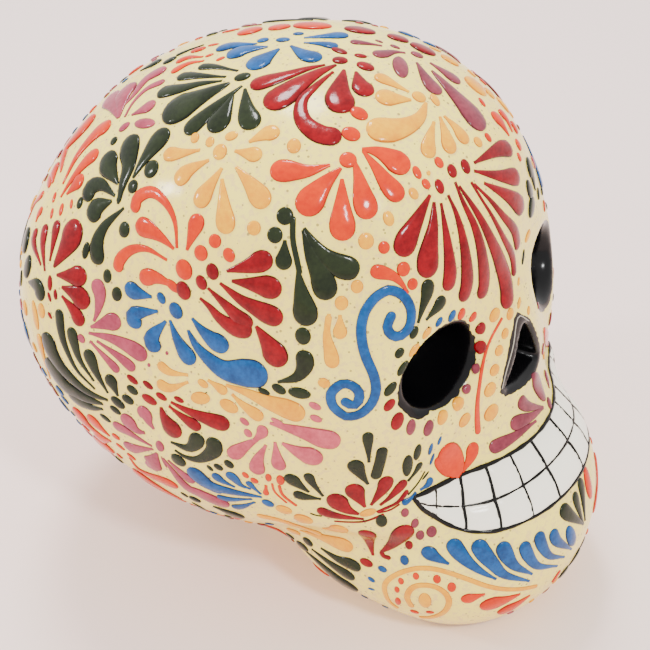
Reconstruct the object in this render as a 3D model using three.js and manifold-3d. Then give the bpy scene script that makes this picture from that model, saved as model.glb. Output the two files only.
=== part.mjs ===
// A glazed ceramic skull, slip-cast in one piece, that stands on the flat foot under its jaw.
// Millimetres, +Z up. The face looks along -Y and the skull's own right side is at -X.
// The origin is on the surface that it stands on, under the middle of its box.

import * as THREE from "three";
import { mergeVertices } from "three/addons/utils/BufferGeometryUtils.js";
import Module from "manifold-3d";

const wasm = await Module();
wasm.setup();

// The casting is a few round masses that run into each other. Each is an ellipsoid given by its middle
// and its half sizes, and "blend" is how far its join with the masses before it is smoothed.
// The two sides are alike, so a mass off the middle plane stands for a pair.
const CRANIUM = { middle: [0, 10.9, 74.2], half: [67, 78.3, 63.5], blend: 0 };
const OCCIPUT = { middle: [0, 41.2, 94.3], half: [61, 36.1, 46.8], blend: 24 };
const FOREHEAD = { middle: [0, -3.5, 122], half: [57, 59.6, 41], blend: 20 };
const ORBIT = { middle: [30, -36, 88], half: [20, 20.5, 31], blend: 22 };
const NOSE_BRIDGE = { middle: [0, -52.7, 82], half: [15, 15, 24], blend: 14 };
const UPPER_JAW = { middle: [0, -52.7, 30], half: [43.1, 37.6, 39.3], blend: 12 };
const CHEEKBONE = { middle: [39.6, -29.6, 53.3], half: [10.3, 27.4, 9.2], blend: 14 };
const LOWER_JAW = { middle: [0, -34.5, 29.4], half: [44.9, 39.4, 33.3], blend: 8 };
const NECK = { middle: [0, 0, 18], half: [20, 28, 30], blend: 10 };
const MASSES = [
  CRANIUM,
  OCCIPUT,
  FOREHEAD,
  ORBIT,
  NOSE_BRIDGE,
  UPPER_JAW,
  CHEEKBONE,
  LOWER_JAW,
  NECK,
];

// The skin is cast from one inner point, from a ball of even triangles.
const SKIN_CENTRE = new THREE.Vector3(0, -20, 68);
const SKIN_DETAIL = 17;
const CAST_REACH = 150;
const CAST_STEPS = 60;

// Eye sockets: closed oval bowls with a rounded lip, wider than tall, whose outer ends droop.
// Their middles are at [X, Z], and the left one sits a little closer to the nose.
const EYE_MIDDLES = { right: [-30, 96.5], left: [27, 97] };
const EYE_HALF_WIDTH = 15.2;
const EYE_HALF_HEIGHT = 12.6;
const EYE_DEPTH = 21;
const EYE_TURN = THREE.MathUtils.degToRad(14);
const EYE_DROOP = THREE.MathUtils.degToRad(12);
const EYE_SEGMENTS = 32;
// The bowl's section, as shares of its half width at the skin and of its depth.
const EYE_SECTION = [
  [0, -1],
  [0.34, -0.97],
  [0.58, -0.8],
  [0.7, -0.5],
  [0.76, -0.22],
  [0.82, -0.1],
  [0.92, -0.03],
  [1.02, 0.02],
  [1.25, 0.3],
  [0, 0.3],
];

// Nose: a three-cornered hole with sharp edges, cut straight in, that leans a little to the left.
// The corners are at [X, Z], and its floor is smaller and slopes out towards its lower edge.
const NOSE_TOP = [1.5, 99];
const NOSE_RIGHT = [-11.2, 79];
const NOSE_LEFT = [13.5, 76];
const NOSE_TOP_ROUNDING = 0.3;
const NOSE_SIDE_ROUNDING = 0.12;
const NOSE_BULGE = 2.2;
const NOSE_DEPTH = 13;
const NOSE_FLOOR_SHARE = 0.6;
const NOSE_FLOOR_SLOPE = 0.4;
const NOSE_REACH = 30;

// Teeth: two rows of low pillows round the front of the jaws. Each row has one tooth in the middle
// and five on each side, and their edges are angles about an upright axis.
const TEETH_AXIS_Y = -38.7;
const TOOTH_EDGES = [9, 22, 34.5, 46.5, 57, 64.7];
const TEETH_PROUD = 0.9;
const TEETH_SUNK = 0.5;
const TEETH_ROOT = 3;
const TOOTH_BEVEL = 0.2;
const TOOTH_GAP = 0.4;

// The upper gum, the bite and the lower gum: each line's height in the middle of the mouth and how far it
// sags towards the side. They meet at the corners of the mouth.
const UPPER_GUM = { height: 61.8, sag: 2.5 };
const BITE = { height: 55.2, sag: 7 };
const LOWER_GUM = { height: 46.6, sag: 3 };
const MOUTH_CORNER_HEIGHT = 60;
const MOUTH_CORNER_SHARPNESS = 6;

const GROUND_SIZE = 400;

// How far a point is outside an ellipsoid, negative inside. Exact on its skin and near enough off it.
function ellipsoidDistance(point, mass) {
  const [a, b, c] = mass.half;
  const x = (Math.abs(point.x) - mass.middle[0]) / a;
  const y = (point.y - mass.middle[1]) / b;
  const z = (point.z - mass.middle[2]) / c;
  const scaled = Math.hypot(x, y, z);
  const slope = Math.hypot(x / a, y / b, z / c);
  return scaled * (scaled - 1) / Math.max(slope, 1e-9);
}

function smoothMin(first, second, blend) {
  const overlap = Math.max(blend - Math.abs(first - second), 0) / blend;
  return Math.min(first, second) - overlap * overlap * blend / 4;
}

function castingDistance(point) {
  let distance = ellipsoidDistance(point, MASSES[0]);
  for (const mass of MASSES.slice(1)) {
    distance = smoothMin(distance, ellipsoidDistance(point, mass), mass.blend);
  }
  return distance;
}

// The outermost point of the casting's skin on a ray from an inner point.
function skinPoint(inner, direction) {
  const point = inner.clone().addScaledVector(direction, CAST_REACH);
  for (let step = 0; step < CAST_STEPS; step += 1) {
    point.addScaledVector(direction, -castingDistance(point) * 0.9);
  }
  return point;
}

function skinNormal(point) {
  const step = 0.2;
  const slope = [0, 1, 2].map((axis) => {
    const ahead = point.clone().setComponent(axis, point.getComponent(axis) + step);
    const behind = point.clone().setComponent(axis, point.getComponent(axis) - step);
    return castingDistance(ahead) - castingDistance(behind);
  });
  return new THREE.Vector3(...slope).normalize();
}

// A closed geometry as a solid that can be joined and cut.
function toSolid(geometry) {
  const bare = geometry.clone();
  bare.deleteAttribute("normal");
  bare.deleteAttribute("uv");
  const merged = mergeVertices(bare, 1e-4);
  const corners = Array.from(merged.index.array);
  const triangles = [];
  for (let i = 0; i < corners.length; i += 3) {
    const [a, b, c] = corners.slice(i, i + 3);
    if (a !== b && b !== c && c !== a) {
      triangles.push(a, b, c);
    }
  }
  return new wasm.Manifold(new wasm.Mesh({
    numProp: 3,
    vertProperties: new Float32Array(merged.attributes.position.array),
    triVerts: new Uint32Array(triangles),
  }));
}

function toGeometry(solid) {
  const mesh = solid.getMesh();
  const geometry = new THREE.BufferGeometry();
  geometry.setAttribute("position", new THREE.BufferAttribute(mesh.vertProperties, 3));
  geometry.setIndex(new THREE.BufferAttribute(mesh.triVerts, 1));
  geometry.computeVertexNormals();
  return geometry;
}

// The casting without its recesses: a ball of even triangles moved out onto the skin.
function castingGeometry() {
  const ball = new THREE.IcosahedronGeometry(1, SKIN_DETAIL);
  ball.deleteAttribute("normal");
  ball.deleteAttribute("uv");
  const skin = mergeVertices(ball, 1e-5);
  const places = skin.attributes.position;
  for (let i = 0; i < places.count; i += 1) {
    const direction = new THREE.Vector3().fromBufferAttribute(places, i).normalize();
    const point = skinPoint(SKIN_CENTRE, direction);
    places.setXYZ(i, point.x, point.y, point.z);
  }
  return skin;
}

// Everything below the surface that the skull stands on.
function groundGeometry() {
  return new THREE.BoxGeometry(GROUND_SIZE, GROUND_SIZE, GROUND_SIZE).translate(0, 0, -GROUND_SIZE / 2);
}

function frontPoint(x, z) {
  return skinPoint(new THREE.Vector3(x, 0, z), new THREE.Vector3(0, -1, 0));
}

// One eye bowl. It is drawn upright, squeezed to an oval and turned to face out of the skin.
function eyeGeometry([x, z]) {
  const profile = EYE_SECTION.map(([radius, height]) => {
    return new THREE.Vector2(radius * EYE_HALF_WIDTH, height * EYE_DEPTH);
  });
  const bowl = new THREE.LatheGeometry(profile, EYE_SEGMENTS);
  bowl.scale(1, 1, EYE_HALF_HEIGHT / EYE_HALF_WIDTH);
  const side = Math.sign(x);
  const outwards = new THREE.Vector3(side * Math.sin(EYE_TURN), -Math.cos(EYE_TURN), 0);
  const level = new THREE.Vector3(side * Math.cos(EYE_TURN), Math.sin(EYE_TURN), 0);
  const across = level.multiplyScalar(Math.cos(EYE_DROOP)).setZ(-Math.sin(EYE_DROOP));
  const third = new THREE.Vector3().crossVectors(across, outwards);
  const mouth = frontPoint(x, z);
  return bowl
    .applyMatrix4(new THREE.Matrix4().makeBasis(across, outwards, third))
    .translate(mouth.x, mouth.y, mouth.z);
}

// The nose cut, drawn upright and pushed in along +Y. Its inner end is smaller and slopes.
function noseGeometry() {
  const [top, right, left] = [NOSE_TOP, NOSE_RIGHT, NOSE_LEFT].map((corner) => new THREE.Vector2(...corner));
  const middle = top.clone().add(right).add(left).divideScalar(3);
  const below = right.clone().lerp(left, 0.5).add(new THREE.Vector2(0, -NOSE_BULGE));
  const shape = new THREE.Shape();
  const start = top.clone().lerp(right, NOSE_TOP_ROUNDING);
  const corner = (tip, next, share) => {
    const end = tip.clone().lerp(next, share);
    shape.quadraticCurveTo(tip.x, tip.y, end.x, end.y);
  };
  shape.moveTo(start.x, start.y);
  corner(top, left, NOSE_TOP_ROUNDING);
  shape.lineTo(...left.clone().lerp(top, NOSE_SIDE_ROUNDING).toArray());
  corner(left, below, NOSE_SIDE_ROUNDING);
  shape.quadraticCurveTo(below.x, below.y, ...right.clone().lerp(below, NOSE_SIDE_ROUNDING).toArray());
  corner(right, top, NOSE_SIDE_ROUNDING);
  shape.closePath();
  const block = new THREE.ExtrudeGeometry(shape, { depth: NOSE_REACH, bevelEnabled: false, curveSegments: 4 });
  const places = block.attributes.position;
  for (let i = 0; i < places.count; i += 1) {
    if (places.getZ(i) < NOSE_REACH / 2) {
      const x = places.getX(i) - middle.x;
      const z = places.getY(i) - middle.y;
      places.setXYZ(
        i,
        middle.x + x * NOSE_FLOOR_SHARE,
        middle.y + z * NOSE_FLOOR_SHARE,
        -z * NOSE_FLOOR_SLOPE,
      );
    }
  }
  const floor = frontPoint(middle.x, middle.y).y + NOSE_DEPTH;
  return block.rotateX(Math.PI / 2).translate(0, floor, 0);
}

// Height of a line of the mouth at an angle from the middle.
function mouthLine(line, angle) {
  const share = Math.abs(angle) / TOOTH_EDGES.at(-1);
  const rise = MOUTH_CORNER_HEIGHT - line.height + line.sag;
  return line.height - line.sag * share ** 2 + rise * share ** MOUTH_CORNER_SHARPNESS;
}

function toothPoint(angle, height, proud) {
  const turn = THREE.MathUtils.degToRad(angle);
  const inner = new THREE.Vector3(0, TEETH_AXIS_Y, height);
  const point = skinPoint(inner, new THREE.Vector3(Math.sin(turn), -Math.cos(turn), 0));
  return point.addScaledVector(skinNormal(point), proud);
}

// One tooth: a low pillow on the skin between two lines of the mouth, closed behind inside the casting.
function toothGeometry(from, to, upper, lower) {
  const steps = [0, TOOTH_BEVEL, 1 - TOOTH_BEVEL, 1];
  const count = steps.length;
  const isEdge = (index) => index === 0 || index === count - 1;
  const places = [];
  for (const layer of ["front", "back"]) {
    for (let row = 0; row < count; row += 1) {
      for (let column = 0; column < count; column += 1) {
        const angle = from + TOOTH_GAP + (to - from - 2 * TOOTH_GAP) * steps[column];
        const bottom = mouthLine(lower, angle);
        const height = bottom + (mouthLine(upper, angle) - bottom) * steps[row];
        const crown = isEdge(row) || isEdge(column) ? -TEETH_SUNK : TEETH_PROUD;
        const proud = layer === "front" ? crown : -TEETH_ROOT;
        places.push(...toothPoint(angle, height, proud).toArray());
      }
    }
  }
  return closedGrid(places, count);
}

// Two grids of the same points, front and back, closed round their edge.
function closedGrid(places, count) {
  const back = count * count;
  const triangles = [];
  const quad = (a, b, c, d) => triangles.push(a, b, c, a, c, d);
  const last = count - 1;
  for (let row = 0; row < last; row += 1) {
    for (let column = 0; column < last; column += 1) {
      const corner = row * count + column;
      quad(corner, corner + 1, corner + count + 1, corner + count);
      quad(back + corner, back + corner + count, back + corner + count + 1, back + corner + 1);
    }
  }
  for (let i = 0; i < last; i += 1) {
    const top = last * count;
    quad(i, back + i, back + i + 1, i + 1);
    quad(top + i, top + i + 1, back + top + i + 1, back + top + i);
    quad(i * count, (i + 1) * count, back + (i + 1) * count, back + i * count);
    quad(i * count + last, back + i * count + last, back + (i + 1) * count + last, (i + 1) * count + last);
  }
  const geometry = new THREE.BufferGeometry();
  geometry.setAttribute("position", new THREE.Float32BufferAttribute(places, 3));
  geometry.setIndex(triangles);
  return geometry;
}

function teeth() {
  const edges = [...TOOTH_EDGES.map((angle) => -angle).reverse(), ...TOOTH_EDGES];
  return edges.slice(1).flatMap((edge, index) => [
    toothGeometry(edges[index], edge, UPPER_GUM, BITE),
    toothGeometry(edges[index], edge, BITE, LOWER_GUM),
  ]);
}

function skullGeometry() {
  let skull = toSolid(castingGeometry());
  for (const tooth of teeth()) {
    skull = skull.add(toSolid(tooth));
  }
  for (const middle of Object.values(EYE_MIDDLES)) {
    skull = skull.subtract(toSolid(eyeGeometry(middle)));
  }
  skull = skull.subtract(toSolid(noseGeometry()));
  return toGeometry(skull.subtract(toSolid(groundGeometry())));
}

const glaze = new THREE.MeshStandardMaterial({ color: 0xefe3b8, roughness: 0.18, metalness: 0 });
const skull = new THREE.Mesh(skullGeometry(), glaze);
skull.name = "skull";

const model = new THREE.Group();
model.add(skull);
export default model;
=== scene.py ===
import math
from collections import namedtuple
from functools import lru_cache

import bpy
import numpy as np
from mathutils import Matrix, Vector


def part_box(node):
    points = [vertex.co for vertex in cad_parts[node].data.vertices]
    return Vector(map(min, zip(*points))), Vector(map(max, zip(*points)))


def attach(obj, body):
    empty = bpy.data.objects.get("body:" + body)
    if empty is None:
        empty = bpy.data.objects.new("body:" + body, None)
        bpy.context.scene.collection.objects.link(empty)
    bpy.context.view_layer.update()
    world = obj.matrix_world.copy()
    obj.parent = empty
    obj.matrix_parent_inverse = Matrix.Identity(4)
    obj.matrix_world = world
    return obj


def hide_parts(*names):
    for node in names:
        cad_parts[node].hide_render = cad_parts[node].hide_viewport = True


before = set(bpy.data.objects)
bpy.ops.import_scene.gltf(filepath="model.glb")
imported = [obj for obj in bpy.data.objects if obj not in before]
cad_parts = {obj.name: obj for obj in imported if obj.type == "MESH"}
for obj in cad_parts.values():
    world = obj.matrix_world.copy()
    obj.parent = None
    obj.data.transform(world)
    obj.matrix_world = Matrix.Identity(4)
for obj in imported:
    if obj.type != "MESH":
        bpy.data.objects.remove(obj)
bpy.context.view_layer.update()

bl_info = {
    "name": "Painted Ceramic Skull",
    "version": (1, 0, 0),
    "blender": (4, 5, 0),
    "location": "View3D > Sidebar > Skull",
    "description": "A glazed skull with raised strokes of coloured glaze, on a pale floor",
    "category": "Object",
}

# Shapes are worked out in millimetres, in the frame of the part, and made in metres.
MM = 0.001

# The casting's round masses: the middle and half sizes of each ellipsoid, and how far its join is smoothed.
# A mass off the middle plane stands for a pair.
Mass = namedtuple("Mass", "middle half blend")
CASTING = {
    "cranium": Mass((0, 10.9, 74.2), (67, 78.3, 63.5), 0),
    "occiput": Mass((0, 41.2, 94.3), (61, 36.1, 46.8), 24),
    "forehead": Mass((0, -3.5, 122), (57, 59.6, 41), 20),
    "orbit": Mass((30, -36, 88), (20, 20.5, 31), 22),
    "nose_bridge": Mass((0, -52.7, 82), (15, 15, 24), 14),
    "upper_jaw": Mass((0, -52.7, 30), (43.1, 37.6, 39.3), 12),
    "cheekbone": Mass((39.6, -29.6, 53.3), (10.3, 27.4, 9.2), 14),
    "lower_jaw": Mass((0, -34.5, 29.4), (44.9, 39.4, 33.3), 8),
    "neck": Mass((0, 0, 18), (20, 28, 30), 10),
}
FOOT_ROUNDING = 1.6

# Eye sockets: closed oval bowls that face a little outwards, with drooping outer ends.
EYE_MIDDLES = {"right": (-30, 96.5), "left": (27, 97)}
EYE_HOLE = (12.2, 10.2)
EYE_INK = (13.2, 11.2)
EYE_PATCH = (15.4, 12.8)
EYE_DEPTH = 21
EYE_TURN = math.radians(14)
EYE_DROOP = math.radians(12)
EYE_LIP = 4.5

# Nose: a three-cornered hole cut straight in. Its corners are at (X, Z).
NOSE_TOP = (1.5, 99)
NOSE_RIGHT = (-11.2, 79)
NOSE_LEFT = (13.5, 76)
NOSE_TOP_ROUNDING = 0.3
NOSE_SIDE_ROUNDING = 0.12
NOSE_BULGE = 2.2
NOSE_DEPTH = 13
NOSE_FLOOR_SHARE = 0.6
NOSE_FLOOR_SLOPE = 0.4
NOSE_LIP = 1.6
NOSE_INK_MARGIN = 0.7

# Teeth: two rows of pillows between lines at these heights, which sag towards the corners of the mouth.
TEETH_AXIS_Y = -38.7
TOOTH_EDGES = (9, 22, 34.5, 46.5, 57, 64.7)
TOOTH_PROUD = 0.8
TOOTH_SHOULDER = 2.6
MouthLine = namedtuple("MouthLine", "height sag")
UPPER_GUM = MouthLine(61.8, 2.5)
BITE = MouthLine(55.2, 7)
LOWER_GUM = MouthLine(46.6, 3)
MOUTH_CORNER_HEIGHT = 60
MOUTH_CORNER_SHARPNESS = 6

# The view of the photograph, 650 pixels square, in the frame of the part.
VIEW_PIXELS = 650
VIEW_AZIMUTH = math.radians(-55.79)
VIEW_ELEVATION = math.radians(35.11)
VIEW_ROLL = math.radians(-2.38)
VIEW_DISTANCE = 462.0
VIEW_FOCAL_PIXELS = 1483.1
VIEW_TARGET = Vector((11.985, 4.238, 62.149))
SENSOR_WIDTH = 36.0

# Rays towards the skin start this far out, or this much nearer than the view's distance, and go this share
# of the way to it in each step, within limits.
OUTSIDE = 150.0
NEARER = 160
RAY_SHARE = 0.9
RAY_STEP_LIMITS = (-2, 30)
# The nose and the teeth are worked out only near their places: lowest and highest X, Y and Z.
NOSE_REGION = ((-19, -99, 66), (21, -45, 106))
TEETH_REGION = ((-99, -99, 40), (99, -50, 66))
TEETH_DEPTH = 6
# A distance that stands for nowhere near, and the Y behind which nothing is part of the face
FAR_OFF = 30
FACE_BEHIND = -20


# The form of the casting

def ellipsoid_distance(points, mass):
    """Near enough the distance to an ellipsoid, and its mirror image, negative inside."""
    local = np.abs(points * (1, 0, 0)) + points * (0, 1, 1) - mass.middle
    scaled = local / mass.half
    length = np.linalg.norm(scaled, axis=-1)
    slope = np.linalg.norm(scaled / mass.half, axis=-1)
    return length * (length - 1) / np.maximum(slope, 1e-9)


def smooth_min(first, second, blend):
    overlap = np.maximum(blend - np.abs(first - second), 0) / blend
    return np.minimum(first, second) - overlap * overlap * blend / 4


def smooth_max(first, second, blend):
    return -smooth_min(-first, -second, blend)


def casting_distance(points):
    """Distance to the casting without its teeth, recesses and foot."""
    masses = list(CASTING.values())
    distance = ellipsoid_distance(points, masses[0])
    for mass in masses[1:]:
        distance = smooth_min(distance, ellipsoid_distance(points, mass), mass.blend)
    return distance


def gradient(distance, points, step=0.15):
    """Unit direction in which a distance grows."""
    slope = np.empty(points.shape)
    for axis in range(3):
        offset = np.zeros(3)
        offset[axis] = step
        slope[..., axis] = distance(points + offset) - distance(points - offset)
    return slope / np.maximum(np.linalg.norm(slope, axis=-1, keepdims=True), 1e-9)


def onto_surface(distance, points, rounds=4):
    for _ in range(rounds):
        points = points - gradient(distance, points) * distance(points)[..., None]
    return points


def cast(origins, directions, steps=90):
    """Points of the casting where rays meet it, or where they pass nearest to it."""
    points = origins.copy()
    nearest = origins.copy()
    least = np.full(len(origins), np.inf)
    for _ in range(steps):
        distance = casting_distance(points)
        closer = distance < least
        nearest[closer] = points[closer]
        least[closer] = distance[closer]
        points = points + directions * np.clip(distance, *RAY_STEP_LIMITS)[:, None] * RAY_SHARE
    return nearest


@lru_cache
def front_point(x, z):
    start = np.array([[x, -OUTSIDE, z]])
    return cast(start, np.array([[0.0, 1.0, 0.0]]))[0]


@lru_cache
def eye_frame(side):
    """The middle of an eye's mouth, and its across, outward and upward directions as rows."""
    x, z = EYE_MIDDLES[side]
    sign = math.copysign(1, x)
    outward = np.array([sign * math.sin(EYE_TURN), -math.cos(EYE_TURN), 0])
    level = np.array([sign * math.cos(EYE_TURN), math.sin(EYE_TURN), 0])
    across = level * math.cos(EYE_DROOP) + np.array([0, 0, -math.sin(EYE_DROOP)])
    return front_point(x, z), np.stack([across, outward, np.cross(across, outward)])


def eye_local(points, side):
    middle, axes = eye_frame(side)
    return (points - middle) @ axes.T


def eye_hole_distance(points, side):
    bowl = Mass((0, 0, 0), (EYE_HOLE[0], EYE_DEPTH, EYE_HOLE[1]), 0)
    return ellipsoid_distance(eye_local(points, side), bowl)


def oval_distance(local, half):
    """Distance in the plane of an eye's mouth to an oval."""
    flat = local * (1, 0, 1)
    return ellipsoid_distance(flat, Mass((0, 0, 0), (half[0], 1, half[1]), 0))


def bezier(start, control, end, count):
    t = np.linspace(0, 1, count, endpoint=False)[:, None]
    return (1 - t) ** 2 * start + 2 * t * (1 - t) * control + t ** 2 * end


def nose_outline():
    top, right, left = (np.array(corner, float) for corner in (NOSE_TOP, NOSE_RIGHT, NOSE_LEFT))
    below = (right + left) / 2 - (0, NOSE_BULGE)
    tip, side = NOSE_TOP_ROUNDING, NOSE_SIDE_ROUNDING

    def toward(start, end, share):
        return start + (end - start) * share

    return np.concatenate([
        bezier(toward(top, right, tip), top, toward(top, left, tip), 6),
        bezier(toward(top, left, tip), toward(top, left, 0.6), toward(left, top, side), 2),
        bezier(toward(left, top, side), left, toward(left, below, side), 5),
        bezier(toward(left, below, side), below, toward(right, below, side), 8),
        bezier(toward(right, below, side), right, toward(right, top, side), 5),
    ])


def outline_distance(places, outline):
    """Signed distance in a plane to a closed outline, negative inside."""
    best = np.full(places.shape[:-1], 1e9)
    inside = np.zeros(places.shape[:-1], bool)
    for start, end in zip(outline, np.roll(outline, -1, axis=0)):
        edge = end - start
        offset = places - start
        share = np.clip(offset @ edge / (edge @ edge), 0, 1)
        best = np.minimum(best, np.linalg.norm(offset - share[..., None] * edge, axis=-1))
        crosses = (start[1] > places[..., 1]) != (end[1] > places[..., 1])
        rise = end[1] - start[1] if end[1] != start[1] else 1e-9
        inside ^= crosses & (places[..., 0] < start[0] + (places[..., 1] - start[1]) * edge[0] / rise)
    return np.where(inside, -best, best)


def nose_local(points):
    """Places in the nose's outline, spread with depth as the hole narrows, and how far past its floor."""
    middle = np.mean([NOSE_TOP, NOSE_RIGHT, NOSE_LEFT], axis=0)
    front = front_point(*middle)[1]
    depth = np.clip((points[..., 1] - front) / NOSE_DEPTH, 0, 1)
    share = 1 + (1 / NOSE_FLOOR_SHARE - 1) * depth
    places = middle + (points[..., (0, 2)] - middle) * share[..., None]
    floor = front + NOSE_DEPTH + NOSE_FLOOR_SLOPE * (points[..., 2] - middle[1])
    return places, points[..., 1] - floor


def nose_hole_distance(points):
    places, behind = nose_local(points)
    return smooth_max(outline_distance(places, nose_outline()), behind, 3)


def mouth_line(line, angle):
    """Height of a line of the mouth at angles, in degrees, from the middle."""
    share = np.abs(angle) / TOOTH_EDGES[-1]
    rise = MOUTH_CORNER_HEIGHT - line.height + line.sag
    return line.height - line.sag * share ** 2 + rise * share ** MOUTH_CORNER_SHARPNESS


def mouth_place(points):
    """Angle, in degrees, and reach from the upright axis of the teeth."""
    across, forward = points[..., 0], TEETH_AXIS_Y - points[..., 1]
    return np.degrees(np.arctan2(across, forward)), np.hypot(across, forward)


def mouth_distance(points):
    """Distance to the outline of the mouth, negative inside."""
    angle, reach = mouth_place(points)
    held = np.clip(angle, -TOOTH_EDGES[-1], TOOTH_EDGES[-1])
    above = points[..., 2] - mouth_line(UPPER_GUM, held)
    below = mouth_line(LOWER_GUM, held) - points[..., 2]
    beside = np.radians(np.abs(angle) - TOOTH_EDGES[-1]) * reach
    return np.maximum(np.maximum(above, below), beside)


def enamel_distance(points):
    """Distance to the outline of the mouth, on the front of the skull alone."""
    return np.where(points[..., 1] < TEETH_AXIS_Y, mouth_distance(points), FAR_OFF)


def tooth_height(points):
    """How far a tooth stands out: full in its middle, nought at its edges."""
    angle, reach = mouth_place(points)
    edges = [side * edge for edge in TOOTH_EDGES for side in (-1, 1)]
    gap = np.min([np.radians(np.abs(angle - edge)) * reach for edge in edges], axis=0)
    gap = np.minimum(gap, np.abs(points[..., 2] - mouth_line(BITE, angle)))
    share = np.clip(np.minimum(gap, -mouth_distance(points)) / TOOTH_SHOULDER, 0, 1)
    return TOOTH_PROUD * share * (2 - share)


def within(points, region):
    low, high = region
    return np.all((points > low) & (points < high), axis=-1)


def skull_distance(points):
    """Distance to the finished body of the skull."""
    distance = casting_distance(points)
    for side in EYE_MIDDLES:
        distance = smooth_max(distance, -eye_hole_distance(points, side), EYE_LIP)
    nose = within(points, NOSE_REGION)
    distance[nose] = smooth_max(distance[nose], -nose_hole_distance(points[nose]), NOSE_LIP)
    teeth = within(points, TEETH_REGION) & (np.abs(distance) < TEETH_DEPTH)
    distance[teeth] -= tooth_height(points[teeth])
    return smooth_max(distance, -points[..., 2], FOOT_ROUNDING)


def surface_net(distance, low, high, step):
    """Corners and four-sided faces of the surface where a distance is nought."""
    axes = [np.arange(low[axis], high[axis] + step, step) for axis in range(3)]
    grid = np.stack(np.meshgrid(*axes, indexing="ij"), axis=-1)
    field = distance(grid)
    inside = field < 0
    shape = tuple(count - 1 for count in field.shape)

    def corner(array, i, j, k):
        return array[i:i + shape[0], j:j + shape[1], k:k + shape[2]]

    count = sum(corner(inside, i, j, k).astype(int) for i in (0, 1) for j in (0, 1) for k in (0, 1))
    active = (count > 0) & (count < 8)
    total = np.zeros(shape + (3,))
    crossings = np.zeros(shape)
    for axis in range(3):
        others = [other for other in range(3) if other != axis]
        for a in (0, 1):
            for b in (0, 1):
                start = [0, 0, 0]
                start[others[0]], start[others[1]] = a, b
                end = list(start)
                end[axis] = 1
                first, last = corner(field, *start), corner(field, *end)
                crossed = (first < 0) != (last < 0)
                share = np.where(crossed, first / np.where(crossed, first - last, 1), 0)
                place = np.zeros(shape + (3,))
                place[..., axis] = share
                place[..., others[0]] = a
                place[..., others[1]] = b
                total += place * crossed[..., None]
                crossings += crossed
    cells = np.argwhere(active)
    points = np.array(low) + (cells + total[active] / crossings[active][:, None]) * step
    index = np.full(shape, -1)
    index[active] = np.arange(len(cells))
    faces = []
    for axis in range(3):
        first = np.take(inside, range(shape[axis]), axis=axis)
        last = np.take(inside, range(1, shape[axis] + 1), axis=axis)
        for i, j, k in np.argwhere(first != last):
            corners = []
            for a, b in ((0, 0), (1, 0), (1, 1), (0, 1)):
                cell = [i, j, k]
                cell[(axis + 1) % 3] -= 1 - a
                cell[(axis + 2) % 3] -= 1 - b
                corners.append(index[tuple(cell)])
            faces.append(corners if first[i, j, k] else corners[::-1])
    return points, np.array(faces)


# The camera's view

def view_axes():
    back = Vector((
        math.sin(VIEW_AZIMUTH) * math.cos(VIEW_ELEVATION),
        -math.cos(VIEW_AZIMUTH) * math.cos(VIEW_ELEVATION),
        math.sin(VIEW_ELEVATION),
    ))
    level = Vector((math.cos(VIEW_AZIMUTH), math.sin(VIEW_AZIMUTH), 0))
    upright = back.cross(level)
    right = level * math.cos(VIEW_ROLL) + upright * math.sin(VIEW_ROLL)
    up = upright * math.cos(VIEW_ROLL) - level * math.sin(VIEW_ROLL)
    return right, up, back


def view_place():
    return VIEW_TARGET + view_axes()[2] * VIEW_DISTANCE


def skin_at_pixels(pixels):
    """Points of the casting's skin that the photograph shows at these pixels."""
    right, up, back = (np.array(axis) for axis in view_axes())
    offset = (np.asarray(pixels, float) - VIEW_PIXELS / 2) / VIEW_FOCAL_PIXELS
    directions = offset[:, :1] * right - offset[:, 1:] * up - back
    directions /= np.linalg.norm(directions, axis=1, keepdims=True)
    origins = np.array(view_place()) + directions * (VIEW_DISTANCE - NEARER)
    return onto_surface(casting_distance, cast(origins, directions))


def pixels_of(points):
    right, up, back = (np.array(axis) for axis in view_axes())
    offset = points - np.array(view_place())
    depth = -(offset @ back)
    flat = np.stack([offset @ right, -(offset @ up)], axis=-1)
    return flat / depth[..., None] * VIEW_FOCAL_PIXELS + VIEW_PIXELS / 2


def facing_view(points):
    """How squarely the skin at these points faces the camera: 1 straight on, negative when turned away."""
    toward = np.array(view_place()) - points
    toward /= np.linalg.norm(toward, axis=-1, keepdims=True)
    return np.sum(gradient(casting_distance, points) * toward, axis=-1)


# The painting. Places are pixels of the photograph, and the first number of a stroke is its width there.

Stroke = namedtuple("Stroke", "kind width pixels")


def drop(width, *pixels):
    """A petal: a round head, which comes first, and a pointed tail."""
    return Stroke("drop", width, pixels)


def oval(width, *pixels):
    return Stroke("oval", width, pixels)


def line(width, *pixels):
    return Stroke("line", width, pixels)


def dot(width, x, y):
    return Stroke("oval", width, ((x, y - width / 2), (x, y + width / 2)))


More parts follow.
